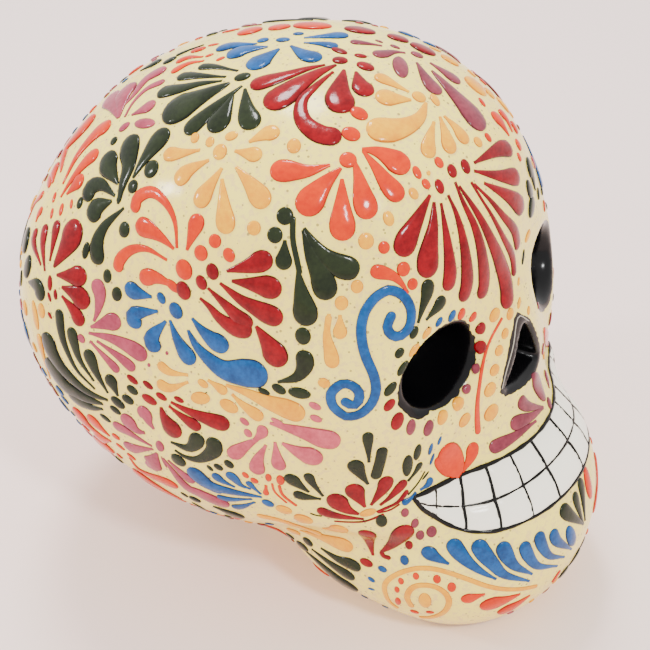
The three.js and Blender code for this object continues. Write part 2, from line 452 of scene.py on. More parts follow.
ROSE = [
    # Fan at the temple
    drop(10, (91, 109), (100, 98), (111, 99), (118, 118)),
    drop(14, (131, 84), (123, 98), (119, 118)),
    drop(8, (167, 68), (147, 79), (134, 95), (124, 106)),
    drop(6, (165, 81), (147, 89), (133, 103), (125, 117)),
    drop(11, (156, 103), (146, 108), (132, 115)),
    oval(12, (135, 123), (155, 124)),
    oval(7, (119, 131), (130, 123)),
    oval(4, (108, 90), (116, 83)),
    oval(3.5, (150, 60), (159, 55)),
    # Fan low on the left
    drop(15, (95, 279), (100, 294), (98, 310), (94, 321)),
    drop(20, (121, 321), (111, 322), (91, 327)),
    drop(17, (147, 358), (130, 347), (110, 338), (89, 333)),
    drop(11, (135, 370), (121, 358), (97, 341)),
    drop(9, (119, 372), (108, 360), (90, 341)),
    oval(7.5, (79, 334), (84, 343)),
    dot(4, 167, 353),
    dot(4, 149, 365),
    # Petals under the left cheek
    drop(14, (138, 407), (146, 415), (149, 422), (154, 429)),
    drop(14, (121, 415), (129, 422), (137, 430), (145, 433)),
    drop(9, (113, 424), (125, 430), (138, 438), (152, 446)),
    drop(9.5, (124, 444), (134, 448), (153, 449)),
    dot(10, 160, 446),
    drop(12, (146, 460), (152, 464), (157, 453)),
    oval(3, (161, 456), (167, 468)),
    drop(8, (194, 483), (182, 473), (168, 460)),
    drop(9.5, (230, 505), (215, 500), (200, 493), (185, 485), (163, 458)),
]
PINK = [
    # Spray in the middle of the cheek
    oval(7, (240, 418), (249, 425)),
    oval(8, (245, 429), (251, 437)),
    drop(13, (261, 425), (262, 433), (252, 442)),
    drop(17.5, (230, 457), (239, 450), (252, 442), (262, 437)),
    drop(17.5, (257, 474), (258, 460), (266, 445)),
    drop(15.5, (280, 470), (277, 456), (275, 442)),
    drop(19, (323, 460), (310, 456), (297, 451), (282, 443)),
    drop(21, (341, 440), (325, 439), (305, 433), (288, 428), (270, 423)),
    oval(6, (271, 418), (285, 426)),
    oval(8, (294, 426), (306, 433)),
    oval(8, (309, 403), (321, 409)),
    oval(8, (310, 416), (322, 421)),
]
MAUVE = [
    # Top right
    oval(3, (375, 40), (383, 43)),
    oval(4, (390, 45), (400, 49)),
    oval(6, (411, 52), (423, 58)),
    drop(6, (350, 42), (362, 43), (382, 46)),
    drop(10, (373, 55), (383, 54), (394, 52), (405, 53)),
    oval(17, (399, 57), (402, 78)),
    drop(14, (439, 95), (428, 81), (417, 63)),
    drop(19, (483, 131), (470, 112), (453, 93), (432, 71)),
    drop(9, (460, 84), (447, 74), (430, 63)),
    # Round the near eye
    oval(10.5, (412, 419), (410, 435)),
    oval(11, (430, 420), (427, 436)),
    oval(9, (478, 364), (475, 374)),
    oval(8.5, (469, 384), (466, 394)),
    # Spray on the muzzle
    oval(13.5, (533, 376), (545, 400)),
    drop(15, (519, 399), (527, 406), (543, 407)),
    drop(16, (510, 425), (518, 422), (532, 416), (543, 408)),
    drop(15, (489, 449), (502, 443), (518, 434), (536, 421)),
    drop(7.5, (541, 363), (545, 373), (549, 388)),
    drop(6, (545, 355), (550, 367), (552, 392)),
    oval(5, (548, 397), (550, 409)),
    # Beads by the corner of the mouth
    dot(9, 405, 512.5),
    dot(9, 415, 523),
    dot(9.5, 420, 535),
    dot(11.5, 431.5, 531.5),
    # Far cheek
    oval(3, (545.5, 239), (546, 250)),
    oval(3, (546, 256), (545, 268)),
    oval(2.5, (540, 300), (538, 309)),
]
GREEN = [
    # Top left edge
    drop(8, (162, 60), (148, 67), (132, 76), (116, 87)),
    oval(5, (163, 64), (177, 57)),
    drop(3, (176, 56), (190, 50), (204, 45)),
    # Sprig at the left
    drop(20, (136, 134), (130, 147), (129, 165), (123, 184), (118, 204)),
    line(6, (122, 190), (118, 203)),
    drop(18, (169, 129), (158, 141), (144, 160), (133, 178)),
    drop(20, (110, 151), (109, 166), (118, 184)),
    drop(15, (87, 202), (91, 188), (102, 185), (115, 196)),
    drop(20, (91, 222), (97, 208), (112, 201)),
    oval(8, (111, 145), (117, 137)),
    oval(18, (146, 177), (157, 161)),
    oval(13, (130, 193), (136, 180)),
    oval(7, (78, 209), (82, 197)),
    drop(16, (99, 265), (97, 245), (105, 226), (124, 208)),
    oval(8, (88, 242), (84, 259)),
    oval(13, (122, 237), (127, 222)),
    oval(10, (107, 283), (108, 269)),
    oval(12, (116, 301), (118, 287)),
    # Left edge
    oval(8, (29, 227), (23, 258)),
    oval(9, (31, 256), (25, 276)),
    drop(12, (42, 301), (38, 287), (29, 282)),
    oval(3, (22, 270), (21, 286)),
    # Fan low on the left
    drop(9.5, (59, 309), (61, 330), (66, 348), (77, 370), (95, 389)),
    drop(13.5, (47, 332), (51, 350), (62, 368), (80, 386), (94, 395), (108, 400)),
    drop(11, (71, 327), (74, 342), (80, 360), (94, 381)),
    drop(12.5, (87, 349), (92, 362), (97, 374), (108, 393)),
    drop(13, (48, 357), (54, 370), (66, 386), (84, 397), (103, 404)),
    drop(9.5, (68, 392), (80, 401), (92, 407), (103, 409)),
    drop(17, (108, 374), (113, 385), (118, 396)),
    oval(8.5, (127, 386), (138, 394)),
    oval(9, (122, 396), (134, 403)),
    oval(9, (111, 397), (125, 408)),
    oval(6.5, (110, 406), (121, 414)),
    oval(5, (100, 414), (111, 422)),
    # Pair of leaves under the crimson fan
    drop(18, (198, 433), (196, 442), (188, 448), (171, 442)),
    drop(18, (212, 437), (214, 450), (200, 459), (186, 457), (175, 450)),
    oval(10.5, (172, 454), (185, 466)),
    oval(4.5, (207, 465), (213, 471)),
    oval(6.5, (214, 464), (223, 470)),
    oval(8, (225, 460), (233, 468)),
    # Lower edge
    drop(7.5, (255, 520), (240, 516), (213, 506)),
    oval(5, (189, 496), (201, 502)),
    oval(3, (181, 492), (188, 497)),
    oval(2.5, (192, 502), (206, 510)),
    # Motif in the middle
    dot(18.5, 285, 216),
    line(6.5, (293, 216), (293, 240), (297, 260), (300, 275)),
    drop(27, (306, 326), (305, 310), (301, 290), (298, 270)),
    dot(17, 275, 235),
    drop(18.5, (283, 270), (284, 256), (285, 240)),
    drop(27, (360, 269), (343, 267), (325, 256), (313, 242), (304, 228)),
    drop(27, (328, 300), (322, 278), (311, 255), (303, 230)),
    dot(17.5, 303, 336),
    drop(20, (302, 350), (305, 364), (297, 377), (278, 382)),
    oval(10, (272, 385), (286, 393)),
    oval(7, (258, 389), (270, 394)),
    oval(12.5, (288, 391), (311, 395)),
    # Fan on the top
    drop(25, (254, 129), (247, 112), (245, 89)),
    oval(9, (234, 79), (251, 75)),
    drop(22, (212, 133), (222, 116), (233, 95)),
    drop(16, (185, 134), (199, 121), (216, 106), (242, 86)),
    drop(26, (162, 118), (184, 106), (207, 94), (230, 83)),
    drop(13, (158, 93), (180, 89), (200, 84), (222, 81)),
    drop(10, (178, 77), (195, 76), (226, 77)),
    drop(8, (199, 67), (215, 67), (238, 71)),
    # Far right edge
    drop(9, (526, 161), (531, 172), (535, 190)),
    oval(8, (526, 182), (532, 196)),
    oval(8, (533, 198), (529, 217)),
    oval(3, (537.5, 187), (538.5, 200)),
    oval(3, (541, 187), (542, 195)),
    oval(3, (524, 249), (522, 265)),
    oval(2.5, (550, 250), (550, 261)),
    oval(2.5, (551, 283), (550, 293)),
    # Leaves by the near eye
    drop(14.5, (428, 279), (427, 293), (423, 306), (418, 323)),
    drop(12, (444, 296), (438, 306), (426, 320)),
    oval(9, (417, 326), (411, 339)),
    oval(9.5, (403, 348), (396, 358)),
    oval(9, (408, 361), (398, 376)),
    oval(10, (396, 382), (385, 396)),
    # Sprigs of the cheek flower
    drop(12.5, (368, 432), (368, 440), (369, 462)),
    line(12.5, (383, 447), (380, 462), (375, 479)),
    drop(18, (353, 460), (358, 470), (368, 484)),
    oval(12, (408, 455), (407, 476)),
    oval(8.5, (419, 444), (416, 460)),
    drop(6.5, (421, 462), (416, 471), (408, 481)),
    line(2.5, (425, 471), (418, 483), (408, 495)),
    oval(3, (429, 471), (422, 480)),
    dot(12.5, 381.5, 520.5),
    # Sprig between the cheek and the stamens
    drop(13.5, (287, 474), (294, 481), (309, 492)),
    drop(11, (308, 473), (311, 481), (323, 496)),
    drop(9.5, (293, 493), (303, 496), (321, 499)),
    # Fan under the jaw's left end
    drop(12, (361, 569), (351, 564), (338, 559), (321, 548)),
    drop(9, (355, 579), (345, 573), (330, 563), (312, 549)),
    drop(9, (364, 595), (350, 586), (335, 576), (306, 551)),
    oval(6.5, (303, 538), (313, 545)),
    oval(6, (296, 542), (308, 549)),
    oval(3.5, (286, 533), (294, 538)),
    # Sprig right of the mouth
    drop(16, (561, 506), (567, 513), (583, 524)),
    drop(8, (574, 492), (577, 504), (583, 523)),
    drop(7.5, (579, 478), (582, 492), (585, 520)),
]
ORANGE = [
    # Small ones at the top left
    drop(6, (171, 73), (188, 64), (204, 61)),
    drop(5, (176, 63), (188, 58), (203, 57)),
    oval(5, (191, 52), (206, 48)),
    oval(3.5, (205, 57), (214, 54)),
    oval(4, (216, 61), (225, 57)),
    oval(3, (208, 46), (219, 44)),
    oval(8, (127, 74), (143, 64)),
    # Left fan
    drop(13, (96, 115), (80, 132), (66, 150), (61, 172)),
    drop(10, (111, 125), (98, 132), (78, 155), (63, 184)),
    drop(11, (99, 152), (87, 161), (73, 178), (61, 197)),
    drop(14, (84, 176), (67, 194)),
    drop(8, (64, 141), (57, 160), (53, 183)),
    oval(7, (50, 170), (50, 187)),
    drop(5, (44, 193), (36, 202), (29, 218)),
    oval(4, (56, 192), (53, 203)),
    oval(5, (63, 203), (60, 216)),
    oval(4, (53, 208), (51, 219)),
    oval(4, (72, 199), (71, 209)),
    drop(6, (43, 208), (39, 214), (36, 222)),
    # Flower at the left
    drop(15, (135, 213), (138, 198), (152, 192), (166, 203), (175, 222), (177, 248)),
    drop(21, (136, 224), (148, 229), (162, 238), (174, 249)),
    drop(14, (118, 272), (120, 260), (131, 250), (147, 249), (167, 260)),
    drop(19, (140, 279), (155, 277), (178, 288)),
    oval(10, (166, 280), (180, 292)),
    drop(18, (200, 214), (194, 230), (187, 250)),
    oval(18, (182, 259), (186, 280)),
    dot(14.5, 215, 241),
    oval(15, (199, 245), (203, 261)),
    oval(13, (226, 248), (232, 262)),
    # Top edge
    oval(8, (237, 35), (262, 28)),
    oval(8, (268, 29), (291, 26)),
    oval(9, (294, 25), (332, 27)),
    oval(3, (222, 33), (240, 29)),
    # Beads and the big flower on the brow
    oval(14, (351, 108), (367, 119)),
    oval(16, (342, 130), (360, 138)),
    drop(25, (270, 170), (290, 171), (308, 171), (330, 165)),
    drop(31, (302, 215), (311, 200), (325, 183), (341, 168)),
    drop(28, (343, 241), (342, 215), (342, 179)),
    oval(18, (339, 160), (357, 160)),
    drop(26, (370, 219), (364, 200), (359, 178), (354, 160)),
    drop(25, (409, 171), (394, 160), (378, 152), (362, 149)),
    drop(22, (402, 200), (388, 184), (375, 166), (363, 151)),
    oval(9, (414, 166), (420, 179)),
    oval(9, (423, 179), (429, 189)),
    oval(9.5, (436, 157), (442, 168)),
    # Right edge
    oval(4.5, (479, 98), (485, 107)),
    drop(9, (491, 112), (500, 122), (509, 136)),
    drop(6, (498, 110), (506, 119), (512, 132)),
    oval(6, (511, 120), (517, 134)),
    oval(6, (485, 133), (491, 142)),
    oval(6, (515, 140), (521, 149)),
    oval(4.5, (517, 153), (521, 161)),
    oval(2.5, (543.5, 200), (544.5, 212)),
    # By the scroll
    dot(13, 384, 247.5),
    dot(15, 403.5, 269),
    dot(12, 412.5, 284),
    drop(16, (370, 271), (380, 272), (393, 276), (402, 284), (408, 293)),
    # Round the near eye and beside the nose
    oval(8, (464, 308), (459, 320)),
    oval(7, (476, 312), (470, 322)),
    drop(6.5, (478, 434), (477, 415), (478, 395), (482, 370), (486, 352), (491, 338), (502, 318)),
    oval(8, (543.5, 329), (548, 344)),
    # Heart over the mouth
    oval(31, (444, 446), (459, 476)),
    oval(15, (436, 458), (451, 476)),
    drop(14, (473, 442), (471, 456), (462, 473)),
    # Lower left edge
    drop(9.5, (88, 414), (94, 421), (101, 428), (110, 436)),
    drop(8, (75, 407), (83, 419), (93, 429), (104, 437)),
    drop(9, (78, 418), (84, 428), (96, 435), (111, 441)),
    oval(5, (112, 434), (120, 439)),
    oval(11, (97, 440), (114, 451)),
    oval(3.5, (116, 443), (125, 450)),
    oval(7, (117, 453), (127, 463)),
    oval(4, (127, 453), (136, 460)),
    drop(8, (178, 486), (165, 481), (150, 475), (138, 468), (130, 458)),
    # Stamens
    oval(6, (243, 472), (248, 478)),
    oval(6, (251, 478), (258, 483)),
    dot(7.5, 268.5, 477.5),
    dot(9.5, 280.5, 480),
    drop(7, (266, 495), (266, 485)),
    line(3, (272, 483), (275, 492), (287, 503)),
    line(4, (279, 485), (283, 495), (297, 506)),
    # Beads in the jaw's scroll, and the drops beside it
    dot(7, 416, 576),
    dot(6.5, 401, 581),
    dot(6, 397, 589.5),
    dot(7, 398, 601),
    dot(8.5, 437, 579),
    dot(9.5, 451.7, 587),
    oval(4, (410, 610), (419, 613)),
    oval(4, (426, 612), (434, 612)),
    drop(12, (461, 600), (470, 598), (485, 594)),
    drop(13, (480, 608), (491, 604), (505, 600), (520, 594)),
    drop(9, (497, 613), (507, 609), (518, 603), (530, 595)),
    line(2.5, (543, 592), (552, 582), (560, 570)),
    # Far side of the jaw
    line(3, (572, 404), (579, 417), (586, 432), (591, 447)),
    oval(8, (584, 466), (591, 498)),
    line(5, (594, 452), (597, 480), (593, 513)),
]
YELLOW = [
    # Left edge
    oval(6, (33, 193), (27, 210)),
    oval(8, (25, 301), (26, 330)),
    oval(6, (33, 300), (38, 330)),
    oval(8, (41, 303), (42, 318)),
    oval(8, (33, 342), (38, 356)),
    drop(6, (39, 334), (42, 350), (50, 378)),
    # Flower on the top
    dot(15.5, 220, 152),
    dot(10, 195, 138),
    dot(10, 210, 142),
    oval(10, (225, 138), (238, 134)),
    drop(17, (280, 131), (266, 134), (249, 142)),
    drop(17, (262, 156), (235, 151)),
    drop(24, (267, 207), (252, 186), (236, 167)),
    drop(21, (227, 234), (224, 208), (222, 179)),
    drop(19, (197, 207), (207, 190), (222, 168)),
    drop(17, (176, 184), (188, 171), (209, 160)),
    drop(16, (164, 154), (178, 154), (200, 150)),
    dot(15, 294, 146),
    dot(15, 254, 228),
    # Top right
    oval(7, (441, 55), (459, 66)),
    oval(3, (429, 47), (441, 52)),
    oval(11, (468, 77), (484, 96)),
    oval(3, (468, 70), (475, 77)),
    oval(5, (485, 88), (494, 99)),
    oval(5, (496, 97), (508, 111)),
    oval(3, (508, 110), (514, 118)),
    drop(17, (428, 158), (429, 142), (434, 122)),
    drop(15.5, (451, 154), (447, 138), (440, 117)),
    drop(12.5, (467, 144), (457, 129), (444, 116)),
    oval(8.5, (475, 137), (481, 147)),
    oval(12, (414, 92), (424, 102)),
    oval(8.5, (432, 94), (438, 106)),
    drop(11, (375, 75), (389, 82), (409, 92)),
    drop(18, (375, 96), (390, 98), (411, 100)),
    drop(27, (366, 127), (386, 130), (406, 126), (420, 117), (426, 103)),
    dot(5, 428.5, 173),
    oval(10, (410, 188), (417, 199)),
    # Beads between the flower and the crimson fan
    oval(12, (386, 211), (391, 226)),
    dot(17, 366, 241),
    dot(13.5, 357, 286.5),
    dot(14.5, 341.5, 303),
    # Inside the scroll
    drop(15, (340, 339), (340, 330), (340, 315)),
    drop(16, (333, 368), (331, 354), (327, 335), (329, 314)),
    line(7, (327, 345), (327, 330), (329, 315)),
    oval(11, (318, 381), (330, 385)),
    # Middle left
    drop(10, (158, 363), (170, 372), (188, 375)),
    drop(11, (157, 382), (170, 388), (188, 382)),
    oval(8, (198, 380), (208, 387)),
    drop(10.5, (227, 393), (217, 386), (208, 380)),
    oval(14, (191, 398), (210, 398)),
    oval(13, (220, 401), (238, 411)),
    drop(13, (263, 419), (250, 410), (240, 402), (232, 394)),
    drop(21, (305, 416), (288, 409), (268, 402), (248, 393), (226, 385)),
    # By the eyes and the nose
    oval(7.5, (431, 327), (423, 339)),
    oval(8.5, (419, 344), (410, 357)),
    oval(11, (462, 397), (456, 411)),
    oval(10, (446, 410), (440, 425)),
    oval(13, (469, 413), (460, 427)),
    oval(11, (499, 309), (490, 321)),
    oval(8, (512, 308), (508, 320)),
    oval(4, (520, 297), (518, 309)),
    oval(8, (507, 328), (503, 339)),
    oval(10, (501, 345), (497, 356)),
    oval(12, (497, 364), (492, 376)),
    oval(12.5, (493, 382), (487, 397)),
    oval(14.5, (493, 404), (489, 421)),
    oval(5, (530, 230), (525, 242)),
    oval(3, (519, 277), (518, 286)),
    oval(4, (529, 306), (528, 315)),
    oval(3, (545, 273), (545, 283)),
    oval(5, (545, 286), (544, 299)),
    # Middle of the cheek flower
    oval(8.5, (360, 515), (376, 510)),
    # Petals low on the cheek
    oval(9, (276, 508), (292, 511)),
    oval(9.5, (294, 517), (313, 521)),
    drop(15, (346, 528), (333, 529), (316, 527)),
    drop(14, (353, 546), (340, 543), (322, 537), (300, 530)),
    line(4.5, (257, 515), (280, 520), (305, 528), (322, 534)),
    line(4, (262, 522), (282, 527), (300, 533)),
    # Scroll on the jaw
    line(
        5.5, (537, 586), (520, 589), (503, 589), (487, 586), (470, 580), (450, 573), (435, 569), (420, 568),
        (405, 571), (392, 577), (385, 584), (385, 592), (389, 601), (398, 608),
    ),
    line(
        6, (412, 607), (407, 597), (412, 588), (422, 585), (436, 587), (446, 594), (449, 603), (444, 612),
        (432, 617), (420, 617),
    ),
    dot(14, 425, 600),
]
CRIMSON = [
    # Left fan
    drop(23, (77, 219), (70, 240), (54, 267)),
    drop(9, (58, 220), (54, 240), (50, 261)),
    drop(8, (46, 224), (43, 245), (45, 271)),
    drop(6, (37, 228), (34, 243), (41, 265)),
    drop(23, (87, 276), (73, 276), (57, 275)),
    drop(20, (86, 309), (79, 296), (62, 287)),
    drop(14, (82, 326), (75, 312), (62, 296)),
    oval(6, (50, 275), (50, 291)),
    oval(4, (48, 292), (51, 302)),
    oval(5, (55, 289), (56, 300)),
    oval(4, (48, 312), (52, 319)),
    # Fan with long petals, in the middle
    oval(14, (211, 263), (214, 280)),
    oval(12, (199, 275), (204, 290)),
    oval(15.5, (181, 281), (186, 300)),
    drop(24, (272, 256), (252, 265), (227, 271)),
    drop(25, (282, 290), (262, 286), (232, 281)),
    drop(22, (283, 320), (268, 314), (254, 307), (240, 299), (220, 283)),
    drop(17, (253, 325), (241, 319), (228, 307), (208, 288)),
    drop(20, (252, 328), (236, 328), (220, 318), (210, 307), (200, 298)),
    drop(26, (281, 367), (274, 352), (264, 337), (256, 326)),
    # Small ovals and the three petals at the left
    oval(7, (127, 375), (138, 384)),
    oval(6.5, (143, 381), (153, 389)),
    oval(9, (142, 395), (157, 404)),
    oval(7, (156, 393), (167, 400)),
    oval(6, (174, 397), (184, 402)),
    drop(17, (230, 425), (214, 421), (195, 414), (182, 408), (171, 402)),
    drop(12, (201, 429), (190, 422), (179, 414), (169, 406)),
    drop(17, (180, 437), (171, 427), (164, 416), (161, 407)),
    # Hooked fan on the top
    oval(9, (332, 60), (348, 61)),
    oval(7, (332, 48), (347, 54)),
    oval(5.5, (354, 55), (367, 57)),
    oval(10, (357, 63), (374, 70)),
    drop(15, (250, 87), (265, 82), (285, 76), (307, 69), (325, 65)),
    drop(25, (264, 106), (280, 98), (298, 85), (318, 73), (336, 65)),
    drop(22, (342, 137), (320, 134), (303, 120), (302, 101), (316, 86), (333, 72)),
    drop(31, (346, 113), (339, 96), (344, 70)),
    drop(19, (372, 95), (362, 87), (356, 72)),
    oval(8, (344, 28), (376, 33)),
    oval(8, (387, 35), (409, 42)),
    oval(9, (412, 43), (435, 56)),
    # Fan over the nose
    oval(10, (463, 159), (468, 174)),
    oval(10.5, (450, 164), (454, 178)),
    oval(10, (437, 179), (442, 194)),
    drop(20, (511, 148), (498, 150), (474, 163)),
    drop(20, (519, 177), (500, 176), (474, 171)),
    drop(20, (523, 208), (508, 196), (484, 183)),
    drop(11.5, (518, 248), (514, 230), (503, 216), (490, 200), (474, 184)),
    drop(9, (514, 276), (512, 256), (503, 237), (492, 216), (482, 200), (471, 182)),
    drop(16.5, (507, 309), (506, 285), (499, 260), (490, 238), (480, 218), (468, 199), (459, 186)),
    drop(14, (480, 299), (484, 280), (481, 250), (474, 225), (463, 202), (455, 182)),
    drop(15, (462, 302), (467, 280), (464, 245), (457, 216), (448, 195)),
    drop(15.5, (447, 291), (450, 272), (447, 240), (441, 203)),
    drop(24, (428, 278), (428, 258), (433, 226), (434, 202)),
    drop(25, (402, 257), (406, 241), (418, 218), (430, 195)),
    # Round the near eye
    oval(12, (482, 322), (480, 335)),
    oval(12.5, (483, 341), (479, 355)),
    oval(10, (394, 399), (385, 411)),
    oval(13.5, (400, 412), (395, 430)),
    # Cheek flower
    drop(20, (331, 494), (338, 502), (348, 510), (359, 514)),
    drop(20.5, (351, 484), (356, 493), (365, 507)),
    drop(16, (388, 476), (384, 487), (377, 497), (371, 505)),
    drop(10, (406, 480), (397, 490), (388, 499), (380, 505)),
    drop(5.5, (408, 490), (398, 502), (386, 508), (377, 512)),
    line(2.5, (400, 504), (390, 510), (378, 513)),
    drop(9.5, (317, 509), (330, 514), (345, 517), (364, 519)),
    line(2.5, (334, 521), (350, 522), (366, 521), (384, 514)),
    # Drops under the flower
    drop(18.5, (366, 530), (369, 540), (373, 555)),
    drop(20, (409, 525), (401, 535), (391, 545), (381, 552)),
    line(5.5, (381, 551), (384, 556), (391, 558)),
    dot(8.5, 409, 545),
    oval(9, (360, 560), (373, 565)),
]
BLUE = [
    # Left edge
    oval(3, (79, 118), (86, 112)),
    oval(3, (69, 132), (75, 125)),
    oval(5, (56, 386), (64, 395)),
    oval(4.5, (58, 398), (69, 412)),
    oval(3.5, (61, 395), (69, 404)),
    # Spray in the middle
    drop(18, (125, 286), (136, 292), (152, 297)),
    oval(9, (159, 292), (164, 304)),
    oval(14, (173, 302), (179, 319)),
    drop(17, (137, 329), (135, 314), (158, 311)),
    drop(17, (158, 352), (152, 338), (166, 321)),
    drop(17, (194, 364), (185, 352), (176, 336), (170, 320)),
    drop(20, (229, 348), (215, 341), (202, 330), (192, 318)),
    drop(31, (268, 374), (247, 373), (225, 370), (208, 358), (196, 345), (188, 330)),
    # Flower on the top edge
    drop(8, (216, 50), (232, 46), (257, 44)),
    drop(12, (227, 58), (243, 51), (268, 47)),
    drop(20, (250, 70), (262, 60), (279, 49)),
    drop(15, (321, 60), (306, 55), (291, 46)),
    drop(8, (338, 47), (322, 44), (304, 43)),
    drop(8, (348, 35), (332, 36), (304, 38)),
    oval(6, (276, 40), (290, 40)),
    oval(4.5, (293, 34), (304, 34)),
    oval(6, (257, 42), (269, 39)),
    # Right edge
    drop(9, (545, 188), (540, 168), (523, 136)),
    # Scroll
    line(
        11.5, (394, 312), (388, 322), (388, 332), (397, 337), (406, 332), (411, 321), (411, 310),
        (407, 300), (398, 292), (388, 290), (377, 296), (368, 306), (363, 317), (361, 331), (363, 347),
        (367, 360), (373, 373), (376, 385), (375, 396), (369, 407), (360, 414), (349, 417), (340, 413),
        (333, 406), (330, 397), (334, 389), (341, 384), (350, 384), (358, 390), (360, 398), (355, 405),
        (347, 404), (343, 398),
    ),
    # Round the near eye
    oval(6.5, (442, 317), (436, 327)),
    oval(7.5, (455, 310), (449, 322)),
    oval(4, (441, 436), (438, 445)),
    oval(5, (432, 443), (429, 455)),
    oval(4, (434, 453), (430, 465)),
    drop(8, (431, 477), (428, 484), (420, 490)),
    drop(7.5, (402, 504), (410, 499), (416, 492)),
    # Feathers on the cheek
    drop(13, (190, 467), (200, 478), (212, 486), (235, 492), (262, 497)),
    drop(8.5, (213, 473), (221, 480), (235, 487)),
    drop(9.5, (227, 472), (235, 479), (241, 485), (251, 489)),
    drop(6.5, (247, 481), (253, 487), (261, 494)),
    oval(5.5, (206, 486), (222, 493)),
    drop(6, (217, 496), (230, 499), (252, 499)),
    drop(7, (233, 507), (243, 506), (255, 502)),
    oval(7.5, (262, 500), (274, 506)),
    # Feathers under the mouth
    drop(16, (424, 547), (432, 555), (449, 564)),
    drop(18, (451, 539), (457, 550), (468, 562), (482, 572), (496, 579)),
    drop(19, (476, 540), (482, 551), (493, 564), (505, 575), (529, 581)),
    drop(18, (501, 542), (506, 554), (515, 566), (532, 574)),
    drop(15, (523, 542), (528, 555), (538, 566), (557, 566)),
    drop(14, (538, 532), (542, 545), (550, 556), (564, 557)),
    drop(13, (552, 530), (557, 541), (571, 549)),
    oval(13, (567, 527), (574, 544)),
    # Beads by the crimson drops
    dot(10, 404.5, 560),
    oval(7, (378, 567), (387, 571)),
    oval(5, (368, 577), (375, 582)),
    oval(3, (368, 588), (375, 590)),
]
# A painted highlight: a pale line along the nose's left and top edges, in place of the lamps' glint on the
# rounded lip of its black glaze
PAINTED_NOSE_GLINT = [line(1.3, (502, 389), (506, 372), (513, 346), (518, 317), (529, 321))]
# Worn and chipped places that show dark
DARK = [
    dot(3, 201, 397),
    line(1.2, (201, 397), (207, 392)),
    line(1.6, (228, 401), (236, 408)),
    dot(2.6, 428.5, 327.5),
    dot(2.2, 418, 342.5),
    line(1.4, (310, 513), (316, 515), (322, 516)),
    line(1.6, (363, 521), (371, 519.5)),
    dot(2, 400, 302),
    dot(1.6, 385, 233),
]
PAINTING = {
    "crimson": CRIMSON,
    "orange": ORANGE,
    "yellow": YELLOW,
    "green": GREEN,
    "blue": BLUE,
    "rose": ROSE,
    "pink": PINK,
    "mauve": MAUVE,
    "dark": DARK,
    # pale: the painted highlight along the nose's edge
    "pale": PAINTED_NOSE_GLINT,
}


# The black of the eyes and the nose

# The outlines of the ragged patch round the near eye and of the nose, as they show in the photograph
NEAR_PATCH_PIXELS = (
    (457, 321), (466, 320), (471, 325), (474, 331), (476, 335), (479, 339), (475, 343), (475, 353),
    (470, 362), (466, 370), (460, 377), (456, 387), (450, 402), (440, 410), (430, 416), (419, 420.5),
    (410, 418), (398, 406), (397.5, 394), (402, 379), (412, 362), (424, 344), (440, 328), (450, 323),
)
NOSE_PATCH_PIXELS = (
    (517, 311.5), (524, 315), (531, 321), (534, 330), (536, 345), (536, 356), (532, 366), (526, 374),
    (518, 384), (510, 391), (499, 394.5), (502, 380), (505, 365), (510, 340), (514, 320),
)
# Behind these Y the skull has no black of the eyes, and none of the nose.
INK_BEHIND = -30
NOSE_INK_BEHIND = -45


def ink_distance(points):
    """Distance to the black of the eyes and the nose, negative on it."""
    patch = eye_local(skin_at_pixels(NEAR_PATCH_PIXELS), "right")[:, (0, 2)]
    near_place = eye_local(points, "right")
    near = np.minimum(outline_distance(near_place[:, (0, 2)], patch), oval_distance(near_place, EYE_INK))
    far = oval_distance(eye_local(points, "left"), EYE_PATCH)
    nose_patch = skin_at_pixels(NOSE_PATCH_PIXELS)[:, (0, 2)]
    cut = outline_distance(points[:, (0, 2)], nose_outline()) - NOSE_INK_MARGIN
    nose = np.minimum(outline_distance(points[:, (0, 2)], nose_patch), cut)
    eyes = np.where(points[:, 0] < 0, near, far)
    black = np.minimum(eyes, np.where(points[:, 1] < NOSE_INK_BEHIND, nose, FAR_OFF))
    return np.where(points[:, 1] < INK_BEHIND, black, FAR_OFF)


# Strokes on the skin

SPINE_SAMPLES = 48
SECTIONS_ROUND = 6
SECTION_SPACING = 1.4
TAIL_STEM = 0.4
TAIL_WIDTH = 0.9
TAIL_CURVE = 1.5
HEAD_SHARE = 0.12
WIDEST_STROKE = 12
WIDEST_ASLANT = 7
WIDEST_SHARE = 0.62
# A stroke seen aslant looks wider by its height, and its glossy edge takes in a little of the ground.
SEEN_SHARE = 0.96
SEEN_HEIGHT = 0.4
SEEN_HEIGHT_LIMIT = 0.4
LEAST_SCALE = 0.7
ASLANT_SHARPNESS = 6
# A stroke is laid only where at least this share of it is clear of the face's features.
CLEAR_SHARE = 0.7
# The end of a stroke that faces the camera less squarely than this is cut back, where enough of it is left.
EDGE_FACING = 0.15
LEAST_KEPT = 0.35


def through(points, count):
    """Even points on a smooth curve through a few points."""
    points = np.asarray(points, float)
    if len(points) == 2:
        return points[0] + (points[1] - points[0]) * np.linspace(0, 1, count)[:, None]
    padded = np.concatenate([[2 * points[0] - points[1]], points, [2 * points[-1] - points[-2]]])
    fine = []
    for a, b, c, d in zip(padded, padded[1:], padded[2:], padded[3:]):
        t = np.linspace(0, 1, 16, endpoint=False)[:, None]
        square = (2 * a - 5 * b + 4 * c - d) * t ** 2
        cube = (3 * b - a - 3 * c + d) * t ** 3
        fine.append(0.5 * (2 * b + (c - a) * t + square + cube))
    fine = np.concatenate(fine + [points[-1:]])
    length = np.concatenate([[0], np.cumsum(np.linalg.norm(np.diff(fine, axis=0), axis=1))])
    even = np.linspace(0, length[-1], count)
    return np.stack([np.interp(even, length, fine[:, axis]) for axis in range(fine.shape[1])], axis=1)


def unit(vectors):
    return vectors / np.maximum(np.linalg.norm(vectors, axis=-1, keepdims=True), 1e-9)


